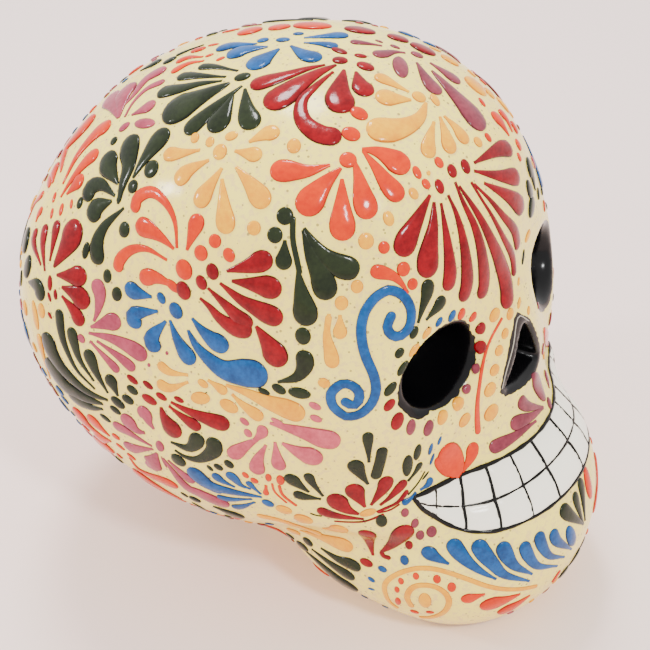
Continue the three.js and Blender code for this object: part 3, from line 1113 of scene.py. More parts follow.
def pixels_across(spines):
    """How many pixels a millimetre across each spine covers in the photograph."""
    along = unit(np.gradient(spines, axis=1))
    side = unit(np.cross(gradient(casting_distance, spines), along))
    here = pixels_of(spines)
    across = pixels_of(spines + side) - here
    forward = unit(pixels_of(spines + along) - here)
    return np.abs(across[..., 0] * forward[..., 1] - across[..., 1] * forward[..., 0])


def stroke_sections(kind, width, spine, spacing=SECTION_SPACING):
    """Section middles and half widths along a spine in millimetres."""
    length = np.concatenate([[0], np.cumsum(np.linalg.norm(np.diff(spine, axis=0), axis=1))])
    total = length[-1]
    half = min(width / 2, total / 2)
    turn = np.linspace(0, math.pi / 2, SECTIONS_ROUND)
    cap = half * (1 - np.cos(turn))
    round_half = half * np.sin(turn)
    long_sections = max(7, round(total / spacing))
    if kind == "oval":
        share = (1 - np.cos(np.linspace(0, math.pi, 2 * SECTIONS_ROUND))) / 2
        along = share * total
        girth = half * np.sqrt(np.clip(4 * share * (1 - share), 0, 1))
    elif kind == "drop":
        rest = np.linspace(0, 1, long_sections + 1)[1:]
        along = np.concatenate([cap, half + rest * (total - half)])
        left = np.clip((1 - rest) / (1 - HEAD_SHARE), 0, 1)
        tail = half * (TAIL_STEM * left ** 0.33 + (1 - TAIL_STEM) * left ** TAIL_CURVE)
        girth = np.concatenate([round_half, np.maximum(tail, TAIL_WIDTH / 2)])
    else:
        rest = np.linspace(0, 1, long_sections + 1)[1:-1]
        along = np.concatenate([cap, half + rest * (total - 2 * half), total - cap[::-1]])
        girth = np.concatenate([round_half, np.full(len(rest), half), round_half[::-1]])
    middles = np.stack([np.interp(along, length, spine[:, axis]) for axis in range(3)], axis=1)
    return middles, np.maximum(girth, 0.02)


def feature_distance(points):
    """Distance along the front of the skin to the eyes, the nose and the mouth, negative on them."""
    eyes = np.min([oval_distance(eye_local(points, side), EYE_HOLE) for side in EYE_MIDDLES], axis=0)
    nose = outline_distance(points[..., (0, 2)], nose_outline())
    nearest = np.min([eyes, nose, enamel_distance(points)], axis=0)
    return np.where(points[..., 1] < FACE_BEHIND, nearest, FAR_OFF)


def lay_seen(strokes):
    """Sections of the strokes that the photograph shows, with their widths made real.

    A stroke whose place falls on an eye, the nose or the mouth isn't laid.
    """
    pixels = np.concatenate([through(stroke.pixels, SPINE_SAMPLES) for stroke in strokes])
    spines = skin_at_pixels(pixels).reshape(len(strokes), SPINE_SAMPLES, 3)
    scale = np.median(pixels_across(spines)[:, :SPINE_SAMPLES // 2], axis=1)
    reach = np.linalg.norm(spines[:, 0] - np.array(view_place()), axis=1)
    straight_on = VIEW_FOCAL_PIXELS / reach
    slant = np.sqrt(np.clip(1 - (scale / straight_on) ** 2, 0, 1))
    open_face = (feature_distance(spines) > 0).mean(axis=1) > CLEAR_SHARE
    squarely = facing_view(spines) > EDGE_FACING
    laid = []
    for index, stroke in enumerate(strokes):
        # The painted highlight along the nose's edge is laid although it lies on the nose.
        if not open_face[index] and stroke not in PAINTED_NOSE_GLINT:
            continue
        spine, across, full, tilt = spines[index], scale[index], straight_on[index], slant[index]
        shown = np.flatnonzero(squarely[index])
        if len(shown) > SPINE_SAMPLES * LEAST_KEPT:
            spine = through(spine[shown[0]:shown[-1] + 1], SPINE_SAMPLES)
        if stroke.kind == "oval":
            spine = through(spine[[0, SPINE_SAMPLES // 2, -1]], SPINE_SAMPLES)
        height = min(SEEN_HEIGHT * tilt * full, stroke.width * SEEN_HEIGHT_LIMIT)
        width = (stroke.width * SEEN_SHARE - height) / max(across, LEAST_SCALE)
        widest = WIDEST_STROKE + (WIDEST_ASLANT - WIDEST_STROKE) * tilt ** ASLANT_SHARPNESS
        if stroke.kind == "drop":
            length = np.linalg.norm(np.diff(spine, axis=0), axis=1).sum()
            widest = min(widest, length * WIDEST_SHARE)
        laid.append(stroke_sections(stroke.kind, min(width, widest), spine))
    return laid


# The sides that the photograph hides

HIDDEN_GAP = 0.8
# Twice the half width of the widest stroke, and a little more
NEIGHBOUR_REACH = 14
SKULL_MIDDLE = np.array([0, 0, 70])
FAN_TRIES = 2600
DOT_TRIES = 6000
DOT_SAMPLES = 8
FAN_PETALS = 7
FAN_LEAST = 4
FAN_STEP = 0.62
FAN_HEART = 3.6
FAN_HUB_WIDTH = 3
HUB_SPAN = np.linspace(-0.42, 0.42, 8)[:, None]
FAN_REACH = (21, 9)
FAN_WIDTH = 0.33
FAN_BEND = 0.5
DOT_WIDTHS = (1.6, 3.4)
DOT_LENGTH = 1.3
FEATURE_MARGIN = 5
LOWEST_PAINT = 6.5
SEEN_LIMIT = 0.12
CLEARLY_SEEN = 0.2
MIRRORED_COLOURS = {
    "crimson": "orange", "orange": "crimson", "yellow": "blue", "green": "green",
    "blue": "yellow", "rose": "rose", "pink": "mauve", "mauve": "pink",
}
FAN_COLOURS = ("crimson", "green", "orange", "blue", "yellow", "rose")


class Canvas:
    """Keeps the strokes laid so far, to tell whether a new one has room."""

    def __init__(self, laid):
        self.points = np.concatenate([middles for middles, _ in laid])
        self.girths = np.concatenate([girth for _, girth in laid])

    def has_room(self, middles, girth):
        reach = np.linalg.norm(middles[1:] - middles[:-1], axis=1).sum() + NEIGHBOUR_REACH
        near = np.linalg.norm(self.points - middles[len(middles) // 2], axis=1) < reach
        gaps = np.linalg.norm(self.points[near][None] - middles[:, None], axis=2)
        return bool(np.all(gaps > self.girths[near][None] + girth[:, None] + HIDDEN_GAP))

    def add(self, middles, girth):
        self.points = np.concatenate([self.points, middles])
        self.girths = np.concatenate([self.girths, girth])


def open_skin(points):
    """Whether points are out of the photograph's sight, and clear of the face's features and the foot."""
    clear = feature_distance(points) > FEATURE_MARGIN
    return clear & (points[..., 2] > LOWEST_PAINT) & (facing_view(points) < SEEN_LIMIT)


def lay_mirrored(painting, canvas):
    """Strokes of the side that shows, turned over onto the far side in other colours, where they fit."""
    found = {colour: [] for colour in painting}
    for colour, other in MIRRORED_COLOURS.items():
        counts = [len(girth) for _, girth in painting[colour]]
        shown = np.concatenate([middles for middles, _ in painting[colour]])
        turned = onto_surface(casting_distance, shown * (-1, 1, 1), 2)
        fit_to_turn = open_skin(turned) & (facing_view(shown) > CLEARLY_SEEN)
        free = np.split(fit_to_turn, np.cumsum(counts)[:-1])
        turned = np.split(turned, np.cumsum(counts)[:-1])
        for (_, girth), middles, allowed in zip(painting[colour], turned, free):
            if allowed.all() and canvas.has_room(middles, girth):
                canvas.add(middles, girth)
                found[other].append((middles, girth))
    return found


def hidden_places(draw, count):
    """Random places on the sides of the skin that the photograph hides."""
    directions = unit(draw.normal(size=(count, 3)))
    met = cast(SKULL_MIDDLE + directions * OUTSIDE, -directions, 40)
    places = onto_surface(casting_distance, met)
    return places[open_skin(places)]


def petal_spines(hubs, turns, fars, bends, near, samples=SPINE_SAMPLES):
    """Spines of petals that point away from their hubs, heads outermost: one row for each hub."""
    normals = gradient(casting_distance, hubs)
    level = unit(np.cross(normals, (0.3, 0.2, 1)))
    sideways = np.cross(normals, level)
    share = np.linspace(1, 0, samples)
    angle = (turns[:, None] + bends[:, None] * share)[..., None]
    reach = (near + (fars[:, None] - near) * share)[..., None]
    flat = np.cos(angle) * level[:, None] + np.sin(angle) * sideways[:, None]
    return onto_surface(casting_distance, hubs[:, None] + flat * reach, 3)


def lay_fans(canvas, found, seed):
    """Fans of petals, then single dots, in what room is left on the hidden sides."""
    draw = np.random.default_rng(seed)
    hubs = hidden_places(draw, FAN_TRIES)
    fars = np.linspace(*FAN_REACH, len(hubs))
    bends = draw.uniform(-FAN_BEND, FAN_BEND, len(hubs))
    firsts = draw.uniform(0, 2 * math.pi, len(hubs))
    petals = [petal_spines(hubs, firsts + FAN_STEP * k, fars, bends, FAN_HEART) for k in range(FAN_PETALS)]
    free = [open_skin(spines).all(axis=1) for spines in petals]
    for index, far in enumerate(fars):
        accepted = []
        for spines, allowed in zip(petals, free):
            middles, girth = stroke_sections("drop", far * FAN_WIDTH, spines[index])
            if allowed[index] and canvas.has_room(middles, girth):
                accepted.append((middles, girth))
        if len(accepted) >= FAN_LEAST:
            for middles, girth in accepted:
                canvas.add(middles, girth)
            found[FAN_COLOURS[index % len(FAN_COLOURS)]] += accepted
            heart = hubs[index] + (petals[0][index, -1:] - hubs[index]) * HUB_SPAN
            middles, girth = stroke_sections("oval", FAN_HUB_WIDTH, heart)
            if canvas.has_room(middles, girth):
                canvas.add(middles, girth)
                found[FAN_COLOURS[(index + 3) % len(FAN_COLOURS)]].append((middles, girth))
    hubs = hidden_places(draw, DOT_TRIES)
    widths = draw.uniform(*DOT_WIDTHS, len(hubs))
    turns = draw.uniform(0, 2 * math.pi, len(hubs))
    spines = petal_spines(hubs, turns, widths * DOT_LENGTH, turns * 0, 0, DOT_SAMPLES)
    allowed = open_skin(spines).all(axis=1)
    for index, width in enumerate(widths):
        middles, girth = stroke_sections("oval", width, spines[index])
        if allowed[index] and canvas.has_room(middles, girth):
            canvas.add(middles, girth)
            found[FAN_COLOURS[index % len(FAN_COLOURS)]].append((middles, girth))


# The black lines of the mouth. Widths in millimetres.

LIP_WIDTH = 1.1
CORNER_WIDTH = 1.5
BITE_WIDTH = 0.85
DIVIDER_WIDTHS = (1.1, 0.85, 1.1, 1.15, 0.9)
MOUTH_SAMPLES = 150
MOUTH_SPACING = 0.8
MOUTH_START = 90


def mouth_spine(angles, heights):
    turn = np.radians(angles)
    outward = np.stack([np.sin(turn), -np.cos(turn), np.zeros(len(turn))], axis=1)
    start = outward * MOUTH_START + np.stack([0 * turn, 0 * turn + TEETH_AXIS_Y, heights], axis=1)
    return onto_surface(casting_distance, cast(start, -outward))


def mouth_strokes():
    last = TOOTH_EDGES[-1]
    laid = []
    angles = np.linspace(-last, last, MOUTH_SAMPLES)
    for gum, width in ((UPPER_GUM, LIP_WIDTH), (BITE, BITE_WIDTH), (LOWER_GUM, LIP_WIDTH)):
        spine = mouth_spine(angles, mouth_line(gum, angles))
        middles, girth = stroke_sections("line", width, spine, MOUTH_SPACING)
        angle = mouth_place(middles)[0]
        if gum is not BITE:
            girth = girth * (1 + (CORNER_WIDTH / LIP_WIDTH - 1) * np.clip(np.abs(angle) / last, 0, 1) ** 2)
        girth = girth * (1 + 0.16 * np.sin(angle * 0.31) + 0.1 * np.sin(angle * 0.83 + 1))
        laid.append((middles, girth))
    for side in (-1, 1):
        for index, edge in enumerate(TOOTH_EDGES[:-1]):
            for upper, lower in ((UPPER_GUM, BITE), (BITE, LOWER_GUM)):
                share = np.linspace(0, 1, SPINE_SAMPLES)
                top, bottom = mouth_line(upper, edge), mouth_line(lower, edge)
                lean = 0.5 * np.sin(share * 3)
                spine = mouth_spine(side * edge + lean, top + (bottom - top) * share)
                width = DIVIDER_WIDTHS[index]
                middles, girth = stroke_sections("line", width, spine, MOUTH_SPACING)
                thin = np.linspace(1.15, 0.7, len(girth)) if lower is LOWER_GUM else 1
                laid.append((middles, girth * thin))
    return laid


# Mesh helpers

def make_object(name, mesh):
    piece = bpy.data.objects.new(name, mesh)
    bpy.context.scene.collection.objects.link(piece)
    return piece


def store(mesh, name, kind, values):
    attribute = mesh.attributes.new(name, kind, "POINT")
    field = "vector" if kind == "FLOAT_VECTOR" else "value"
    attribute.data.foreach_set(field, np.asarray(values, np.float32).ravel())


def stroke_mesh(name, strokes, rise):
    """A mesh of spines, each a chain of edges, with its half width and how high it rises."""
    points, edges, girths = [], [], []
    count = 0
    for middles, girth in strokes:
        points.append(middles)
        girths.append(girth)
        chain = np.arange(count, count + len(middles))
        edges.append(np.stack([chain[:-1], chain[1:]], axis=1))
        count += len(middles)
    points = np.concatenate(points) * MM
    girths = np.concatenate(girths)
    mesh = bpy.data.meshes.new(name)
    mesh.from_pydata(points.tolist(), np.concatenate(edges).tolist(), [])
    store(mesh, "girth", "FLOAT", girths * MM)
    store(mesh, "rise", "FLOAT", rise / np.sqrt(np.maximum(girths, 0.3)))
    return mesh


# Node helpers

def add_node(tree, kind, settings=None, **inputs):
    """A node with its settings and input values. An input may be a value or another node's socket."""
    node = tree.nodes.new(kind)
    for name, value in (settings or {}).items():
        setattr(node, name, value)
    for name, value in inputs.items():
        socket = next(s for s in node.inputs if s.enabled and s.name.replace(" ", "_").lower() == name)
        if isinstance(value, bpy.types.NodeSocket):
            tree.links.new(value, socket)
        else:
            socket.default_value = value
    return node


def result_of(node, name):
    """The output of that name that the node's settings turn on."""
    return next(socket for socket in node.outputs if socket.enabled and socket.name == name)


def named_attribute(tree, kind, name):
    node = add_node(tree, "GeometryNodeInputNamedAttribute", {"data_type": kind}, name=name)
    return result_of(node, "Attribute")


def vector_math(tree, operation, first, second=None, scale=None):
    node = tree.nodes.new("ShaderNodeVectorMath")
    node.operation = operation
    tree.links.new(first, node.inputs[0])
    if second is not None:
        tree.links.new(second, node.inputs[1])
    if scale is not None:
        tree.links.new(scale, node.inputs["Scale"])
    return node.outputs["Value" if operation == "DOT_PRODUCT" else "Vector"]


def math_node(tree, operation, *values):
    node = tree.nodes.new("ShaderNodeMath")
    node.operation = operation
    for socket, value in zip(node.inputs, values):
        if isinstance(value, bpy.types.NodeSocket):
            tree.links.new(value, socket)
        else:
            socket.default_value = value
    return node.outputs[0]


def raised_stroke_tree():
    """Sweeps a round section along spines and presses it onto the skull as a low dome."""
    tree = bpy.data.node_groups.new("Raised Stroke", "GeometryNodeTree")
    for name, kind in (
        ("Spines", "NodeSocketGeometry"),
        ("Skull", "NodeSocketObject"),
        ("Sides", "NodeSocketInt"),
        ("Fullness", "NodeSocketFloat"),
        ("Glaze", "NodeSocketMaterial"),
    ):
        tree.interface.new_socket(name, in_out="INPUT", socket_type=kind)
    tree.interface.new_socket("Strokes", in_out="OUTPUT", socket_type="NodeSocketGeometry")
    given = tree.nodes.new("NodeGroupInput").outputs
    chain = add_node(tree, "GeometryNodeMeshToCurve", mesh=given["Spines"])
    girth = named_attribute(tree, "FLOAT", "girth")
    rise = named_attribute(tree, "FLOAT", "rise")
    section = add_node(tree, "GeometryNodeCurvePrimitiveCircle", resolution=given["Sides"], radius=1.0)
    swept = add_node(
        tree, "GeometryNodeCurveToMesh",
        curve=chain.outputs[0], profile_curve=section.outputs[0], scale=girth, fill_caps=True,
    )
    skull = add_node(tree, "GeometryNodeObjectInfo", object=given["Skull"])
    place = add_node(tree, "GeometryNodeInputPosition").outputs[0]
    upright = named_attribute(tree, "FLOAT_VECTOR", "outward")
    foot, normal = (
        result_of(add_node(
            tree, "GeometryNodeSampleNearestSurface", {"data_type": "FLOAT_VECTOR"},
            mesh=skull.outputs["Geometry"], value=value, sample_position=place,
        ), "Value")
        for value in (place, upright)
    )
    height = vector_math(tree, "DOT_PRODUCT", vector_math(tree, "SUBTRACT", place, foot), normal)
    share = math_node(tree, "DIVIDE", height, girth)
    size = math_node(tree, "POWER", math_node(tree, "ABSOLUTE", share), given["Fullness"])
    dome = math_node(tree, "MULTIPLY", size, math_node(tree, "SIGN", share))
    lift = math_node(tree, "MULTIPLY", math_node(tree, "MULTIPLY", dome, girth), rise)
    marked = add_node(
        tree, "GeometryNodeStoreNamedAttribute", {"data_type": "FLOAT", "domain": "POINT"},
        geometry=swept.outputs[0], name="dome", value=share,
    )
    pressed = add_node(
        tree, "GeometryNodeSetPosition",
        geometry=marked.outputs[0],
        position=vector_math(tree, "ADD", foot, vector_math(tree, "SCALE", normal, scale=lift)),
    )
    rounded = add_node(tree, "GeometryNodeSetShadeSmooth", geometry=pressed.outputs[0])
    real = add_node(tree, "GeometryNodeRealizeInstances", geometry=rounded.outputs[0])
    glazed = add_node(tree, "GeometryNodeSetMaterial", geometry=real.outputs[0], material=given["Glaze"])
    result = tree.nodes.new("NodeGroupOutput")
    tree.links.new(glazed.outputs[0], result.inputs["Strokes"])
    return tree


def run_nodes(piece, tree, values):
    """Runs a node tree on a piece and keeps the result as a plain mesh."""
    modifier = piece.modifiers.new(tree.name, "NODES")
    modifier.node_group = tree
    for item in tree.interface.items_tree:
        if item.item_type == "SOCKET" and item.in_out == "INPUT" and item.name in values:
            modifier[item.identifier] = values[item.name]
    piece.update_tag()
    graph = bpy.context.evaluated_depsgraph_get()
    graph.update()
    mesh = bpy.data.meshes.new_from_object(piece.evaluated_get(graph))
    mesh.name = piece.name
    old = piece.data
    piece.modifiers.clear()
    piece.data = mesh
    bpy.data.meshes.remove(old)


def tree_named(name, build):
    return bpy.data.node_groups.get(name) or build()


# Finishes

def shader_group(name, inputs, outputs):
    """An empty shader group with its sockets, and its inside ends."""
    tree = bpy.data.node_groups.new(name, "ShaderNodeTree")
    for label, kind in inputs:
        tree.interface.new_socket(label, in_out="INPUT", socket_type=kind)
    for label, kind in outputs:
        tree.interface.new_socket(label, in_out="OUTPUT", socket_type=kind)
    return tree, tree.nodes.new("NodeGroupInput").outputs, tree.nodes.new("NodeGroupOutput").inputs


def stretch(tree, value, low, high, start=0.0, end=1.0):
    """A value from low to high brought smoothly to a value from start to end."""
    node = add_node(
        tree, "ShaderNodeMapRange", {"interpolation_type": "SMOOTHSTEP"},
        value=value, from_min=low, from_max=high, to_min=start, to_max=end,
    )
    return node.outputs[0]


def blend(tree, factor, first, second):
    node = tree.nodes.new("ShaderNodeMix")
    node.data_type = "RGBA"
    sockets = [socket for socket in node.inputs if socket.enabled]
    for socket, value in zip(sockets, (factor, first, second)):
        if isinstance(value, bpy.types.NodeSocket):
            tree.links.new(value, socket)
        else:
            socket.default_value = value if isinstance(value, float) else (*value, 1)
    return result_of(node, "Result")


def mottle_group():
    """Soft uneven tone, from 0 to 1, with streaks finer than its clouds."""
    tree, given, result = shader_group(
        "Mottle",
        [("Place", "NodeSocketVector"), ("Scale", "NodeSocketFloat")],
        [("Tone", "NodeSocketFloat")],
    )
    noise = add_node(tree, "ShaderNodeTexNoise", vector=given["Place"], scale=given["Scale"], detail=4.0)
    tree.links.new(stretch(tree, noise.outputs[0], 0.32, 0.68), result["Tone"])
    return tree


def speck_group():
    """Scattered specks: 1 on a speck, 0 elsewhere."""
    tree, given, result = shader_group(
        "Specks",
        [
            ("Place", "NodeSocketVector"),
            ("Scale", "NodeSocketFloat"),
            ("Size", "NodeSocketFloat"),
            ("Share", "NodeSocketFloat"),
        ],
        [("Specks", "NodeSocketFloat")],
    )
    cells = add_node(tree, "ShaderNodeTexVoronoi", vector=given["Place"], scale=given["Scale"])
    parts = add_node(tree, "ShaderNodeSeparateColor", color=cells.outputs["Color"])
    size = math_node(tree, "MULTIPLY", given["Size"], parts.outputs[0])
    close = math_node(tree, "LESS_THAN", cells.outputs["Distance"], size)
    chosen = math_node(tree, "LESS_THAN", parts.outputs[1], given["Share"])
    tree.links.new(math_node(tree, "MULTIPLY", close, chosen), result["Specks"])
    return tree


def ripple_group():
    """Height of the glaze's slow waves."""
    tree, given, result = shader_group(
        "Ripple",
        [("Place", "NodeSocketVector"), ("Scale", "NodeSocketFloat")],
        [("Height", "NodeSocketFloat")],
    )
    noise = add_node(tree, "ShaderNodeTexNoise", vector=given["Place"], scale=given["Scale"], detail=2.0)
    tree.links.new(noise.outputs[0], result["Height"])
    return tree


def use_group(tree, name, build, **inputs):
    node = tree.nodes.new("ShaderNodeGroup")
    node.node_tree = tree_named(name, build)
    for label, value in inputs.items():
        socket = node.inputs[label.title()]
        if isinstance(value, bpy.types.NodeSocket):
            tree.links.new(value, socket)
        else:
            socket.default_value = value
    return node.outputs[0]


GLAZE_SHEEN = 0.2


def new_material(name, roughness, sheen=GLAZE_SHEEN):
    """A material, its tree, its shader and its object coordinates."""
    material = bpy.data.materials.new(name)
    material.use_nodes = True
    tree = material.node_tree
    shader = tree.nodes["Principled BSDF"]
    shader.inputs["Roughness"].default_value = roughness
    shader.inputs["Specular IOR Level"].default_value = sheen
    place = tree.nodes.new("ShaderNodeTexCoord").outputs["Object"]
    return material, tree, shader, place


def attribute_of(tree, name):
    node = tree.nodes.new("ShaderNodeAttribute")
    node.attribute_name = name
    return node.outputs["Fac"]


def add_ripple(tree, shader, place, scale, strength):
    height = use_group(tree, "Ripple", ripple_group, place=place, scale=scale)
    bump = add_node(tree, "ShaderNodeBump", strength=strength, distance=RIPPLE_DEPTH, height=height)
    tree.links.new(bump.outputs["Normal"], shader.inputs["Normal"])


CREAM = (0.98, 0.82, 0.16)
CREAM_SHADE = (0.93, 0.71, 0.13)
CREAM_SPECK = (0.20, 0.14, 0.06)
CREAM_CLOUD = (0.74, 0.52, 0.24)
ENAMEL = (0.98, 0.95, 0.80)
INK = (0.0015, 0.0015, 0.002)
BARE_CLAY = (0.62, 0.50, 0.38)
FLOOR = (0.93, 0.74, 0.70)
FLOOR_SHADE = (0.92, 0.75, 0.70)
# Scales of the patterns, in waves or cells for each metre
CREAM_BROAD = 45.0
CREAM_FINE = 700.0
CREAM_SPECKS = 850.0
CREAM_RIPPLE = 110.0
INK_EDGE = 420.0
STROKE_BROAD = 170.0
STROKE_FINE = 900.0
STROKE_RIPPLE = 260.0
FLOOR_BROAD = 3.0
RIPPLE_DEPTH = 0.0003
# Heights in metres between which the glaze gives way to the bare foot
BARE_BELOW = 0.0006
GLAZED_ABOVE = 0.0012
CREAM_ROUGHNESS = 0.17
BARE_ROUGHNESS = 0.85
STROKE_ROUGHNESS = 0.14
FLOOR_ROUGHNESS = 0.7


def body_material():
    """Cream glaze with tan specks, black recesses, white teeth and a bare foot."""
    material, tree, shader, place = new_material("cream_glaze", CREAM_ROUGHNESS)
    broad = use_group(tree, "Mottle", mottle_group, place=place, scale=CREAM_BROAD)
    fine = use_group(tree, "Mottle", mottle_group, place=place, scale=CREAM_FINE)
    clouds = math_node(tree, "MULTIPLY", stretch(tree, fine, 0.5, 1.0), 0.5)
    specks = use_group(tree, "Specks", speck_group, place=place, scale=CREAM_SPECKS, size=0.36, share=0.3)
    colour = blend(tree, math_node(tree, "MULTIPLY", broad, 0.5), CREAM, CREAM_SHADE)
    colour = blend(tree, clouds, colour, CREAM_CLOUD)
    colour = blend(tree, math_node(tree, "MULTIPLY", specks, 0.7), colour, CREAM_SPECK)
    enamel = stretch(tree, attribute_of(tree, "enamel"), -0.2, 0.2, 1.0, 0.0)
    colour = blend(tree, enamel, colour, ENAMEL)
    ragged = use_group(tree, "Ripple", ripple_group, place=place, scale=INK_EDGE)
    wander = math_node(tree, "MULTIPLY", math_node(tree, "SUBTRACT", ragged, 0.5), 1.2)
    edge = math_node(tree, "ADD", attribute_of(tree, "ink"), wander)
    ink = stretch(tree, edge, -0.08, 0.08, 1.0, 0.0)
    colour = blend(tree, ink, colour, INK)
    height = add_node(tree, "ShaderNodeSeparateXYZ", vector=place).outputs["Z"]
    bare = stretch(tree, height, BARE_BELOW, GLAZED_ABOVE, 1.0, 0.0)
    colour = blend(tree, bare, colour, BARE_CLAY)
    tree.links.new(colour, shader.inputs["Base Color"])
    roughness = stretch(tree, bare, 0.0, 1.0, CREAM_ROUGHNESS, BARE_ROUGHNESS)
    tree.links.new(roughness, shader.inputs["Roughness"])
    add_ripple(tree, shader, place, CREAM_RIPPLE, 0.35)
    return material


Glaze = namedtuple("Glaze", "light deep rim")
GLAZES = {
    "crimson": Glaze((0.27, 0.001, 0.006), (0.12, 0.0005, 0.003), (0.04, 0.0005, 0.001)),
    "orange": Glaze((0.66, 0.040, 0.0008), (0.50, 0.017, 0.0005), (0.30, 0.006, 0.0005)),
    "yellow": Glaze((0.90, 0.43, 0.001), (0.76, 0.28, 0.0005), (0.55, 0.16, 0.0005)),
    "green": Glaze((0.017, 0.025, 0.008), (0.007, 0.011, 0.004), (0.0015, 0.002, 0.001)),
    "blue": Glaze((0.009, 0.09, 0.29), (0.004, 0.04, 0.14), (0.002, 0.010, 0.04)),
    "rose": Glaze((0.40, 0.062, 0.10), (0.26, 0.030, 0.058), (0.16, 0.014, 0.030)),
    "pink": Glaze((0.58, 0.105, 0.13), (0.38, 0.050, 0.075), (0.24, 0.024, 0.040)),
    "mauve": Glaze((0.25, 0.042, 0.062), (0.14, 0.020, 0.034), (0.08, 0.010, 0.018)),
    # pale: the colour of the painted highlight along the nose's edge
    "pale": Glaze((0.50, 0.46, 0.36), (0.36, 0.33, 0.27), (0.30, 0.27, 0.22)),
    "dark": Glaze((0.010, 0.006, 0.003), (0.004, 0.003, 0.002), (0.004, 0.003, 0.002)),
    "black": Glaze((0.003, 0.003, 0.002), (0.0015, 0.0015, 0.001), (0.0015, 0.0015, 0.001)),
}


def glaze_material(name):
    """Coloured glaze, mottled, and darker at the rim of each stroke."""
    glaze = GLAZES[name]
    material, tree, shader, place = new_material(f"{name}_glaze", STROKE_ROUGHNESS)
    broad = use_group(tree, "Mottle", mottle_group, place=place, scale=STROKE_BROAD)
    fine = use_group(tree, "Mottle", mottle_group, place=place, scale=STROKE_FINE)
    broad_part = math_node(tree, "MULTIPLY", broad, 0.6)
    fine_part = math_node(tree, "MULTIPLY", fine, 0.4)
    tone = math_node(tree, "ADD", broad_part, fine_part)
    colour = blend(tree, tone, glaze.light, glaze.deep)
    rim = stretch(tree, attribute_of(tree, "dome"), 0.22, 0.5, 1.0, 0.0)
    colour = blend(tree, rim, colour, glaze.rim)
    tree.links.new(colour, shader.inputs["Base Color"])
    add_ripple(tree, shader, place, STROKE_RIPPLE, 0.45)
    return material


def floor_material():
    material, tree, shader, place = new_material("floor", FLOOR_ROUGHNESS)
    tone = use_group(tree, "Mottle", mottle_group, place=place, scale=FLOOR_BROAD)
    tree.links.new(blend(tree, tone, FLOOR, FLOOR_SHADE), shader.inputs["Base Color"])
    return material


# Settings that the panel shows

class SkullSettings(bpy.types.PropertyGroup):
    grain: bpy.props.FloatProperty(
        name="Grain", description="Spacing of the body's mesh", default=0.0012, min=0.0005, unit="LENGTH")
    rise: bpy.props.FloatProperty(
        name="Rise", description="Height of a stroke 2 mm wide, as a share of its half width", default=0.42)
    line_rise: bpy.props.FloatProperty(
        name="Line Rise", description="The same for the black lines of the mouth", default=0.7)
    fullness: bpy.props.FloatProperty(
        name="Fullness", description="How steeply a stroke's edge rises: lower is steeper", default=0.72)
    sides: bpy.props.IntProperty(name="Sides", description="Sides of a stroke's section", default=14, min=6)
    seed: bpy.props.IntProperty(name="Seed", description="Draw of the fans on the hidden sides", default=11)


class SkullStageSettings(bpy.types.PropertyGroup):
    floor: bpy.props.FloatProperty(
        name="Floor", description="Half width of the floor", default=3.0, unit="LENGTH")
    room: bpy.props.FloatProperty(name="Room", description="Strength of the light all round", default=1.6)
    lamps: bpy.props.FloatProperty(
        name="Lamps", description="Strength of the lamps, as a share", default=1.6)


# Operators

class SKULL_OT_clay(bpy.types.Operator):
    """Makes the glazed casting with its teeth, eye sockets, nose and foot"""

    bl_idname = "skull.clay"
    bl_label = "Casting"

    def execute(self, context):
        low, high = (np.array(corner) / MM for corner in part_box("skull"))
        margin = 3
        step = context.scene.skull.grain / MM * 1
        points, faces = surface_net(skull_distance, low - margin, high + margin, step)
        if not len(faces):
            raise RuntimeError("the casting has no surface")
        points = onto_surface(skull_distance, points, 3)
        mesh = bpy.data.meshes.new("skull_clay")
        mesh.from_pydata((points * MM).tolist(), [], faces.tolist())
        mesh.polygons.foreach_set("use_smooth", np.ones(len(mesh.polygons), bool))
        store(mesh, "outward", "FLOAT_VECTOR", gradient(skull_distance, points))
        store(mesh, "ink", "FLOAT", ink_distance(points))
        store(mesh, "enamel", "FLOAT", enamel_distance(points))
        mesh.materials.append(body_material())
        piece = make_object("skull_clay", mesh)
        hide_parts("skull")
        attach(piece, "root")
        return {"FINISHED"}


def make_strokes(context, name, laid, rise, glaze):
    settings = context.scene.skull
    piece = make_object(name, stroke_mesh(name, laid, rise))
    run_nodes(piece, tree_named("Raised Stroke", raised_stroke_tree), {
        "Skull": bpy.data.objects["skull_clay"],
        "Sides": settings.sides,
        "Fullness": settings.fullness,
        "Glaze": glaze_material(glaze),
    })
    if not len(piece.data.polygons):
        raise RuntimeError(f"{name} came out empty")
    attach(piece, "root")


class SKULL_OT_mouth(bpy.types.Operator):
    """Draws the black lines round the mouth and between the teeth"""

    bl_idname = "skull.mouth"
    bl_label = "Mouth Lines"

    def execute(self, context):
        make_strokes(context, "mouth_lines", mouth_strokes(), context.scene.skull.line_rise, "black")
        return {"FINISHED"}


class SKULL_OT_strokes(bpy.types.Operator):
    """Lays the raised strokes of coloured glaze, those in view and those on the hidden sides"""

    bl_idname = "skull.strokes"
    bl_label = "Glaze Strokes"

    def execute(self, context):
        settings = context.scene.skull
        painting = {colour: lay_seen(strokes) for colour, strokes in PAINTING.items()}
        canvas = Canvas([stroke for laid in painting.values() for stroke in laid])
        found = lay_mirrored(painting, canvas)
        lay_fans(canvas, found, settings.seed)
        for colour, laid in painting.items():
            # The chips and the painted highlight on the nose's edge rise as low as the mouth's lines.
            rise = settings.line_rise if colour in ("dark", "pale") else settings.rise
            make_strokes(context, f"strokes_{colour}", laid + found[colour], rise, colour)
        return {"FINISHED"}


# Places and widths in metres, powers in watts
Lamp = namedtuple("Lamp", "place width power")
LAMP_TARGET = Vector((0, 0, 0.07))
ROOM_COLOUR = (1, 0.985, 0.975)
LAMPS = {
    "key": Lamp((-0.45, -0.8, 1.0), 0.16, 6.5),
    "side": Lamp((-0.6, 0.85, 0.6), 0.12, 3.0),
    "top": Lamp((0.3, 0.3, 1.15), 0.3, 7.0),
}


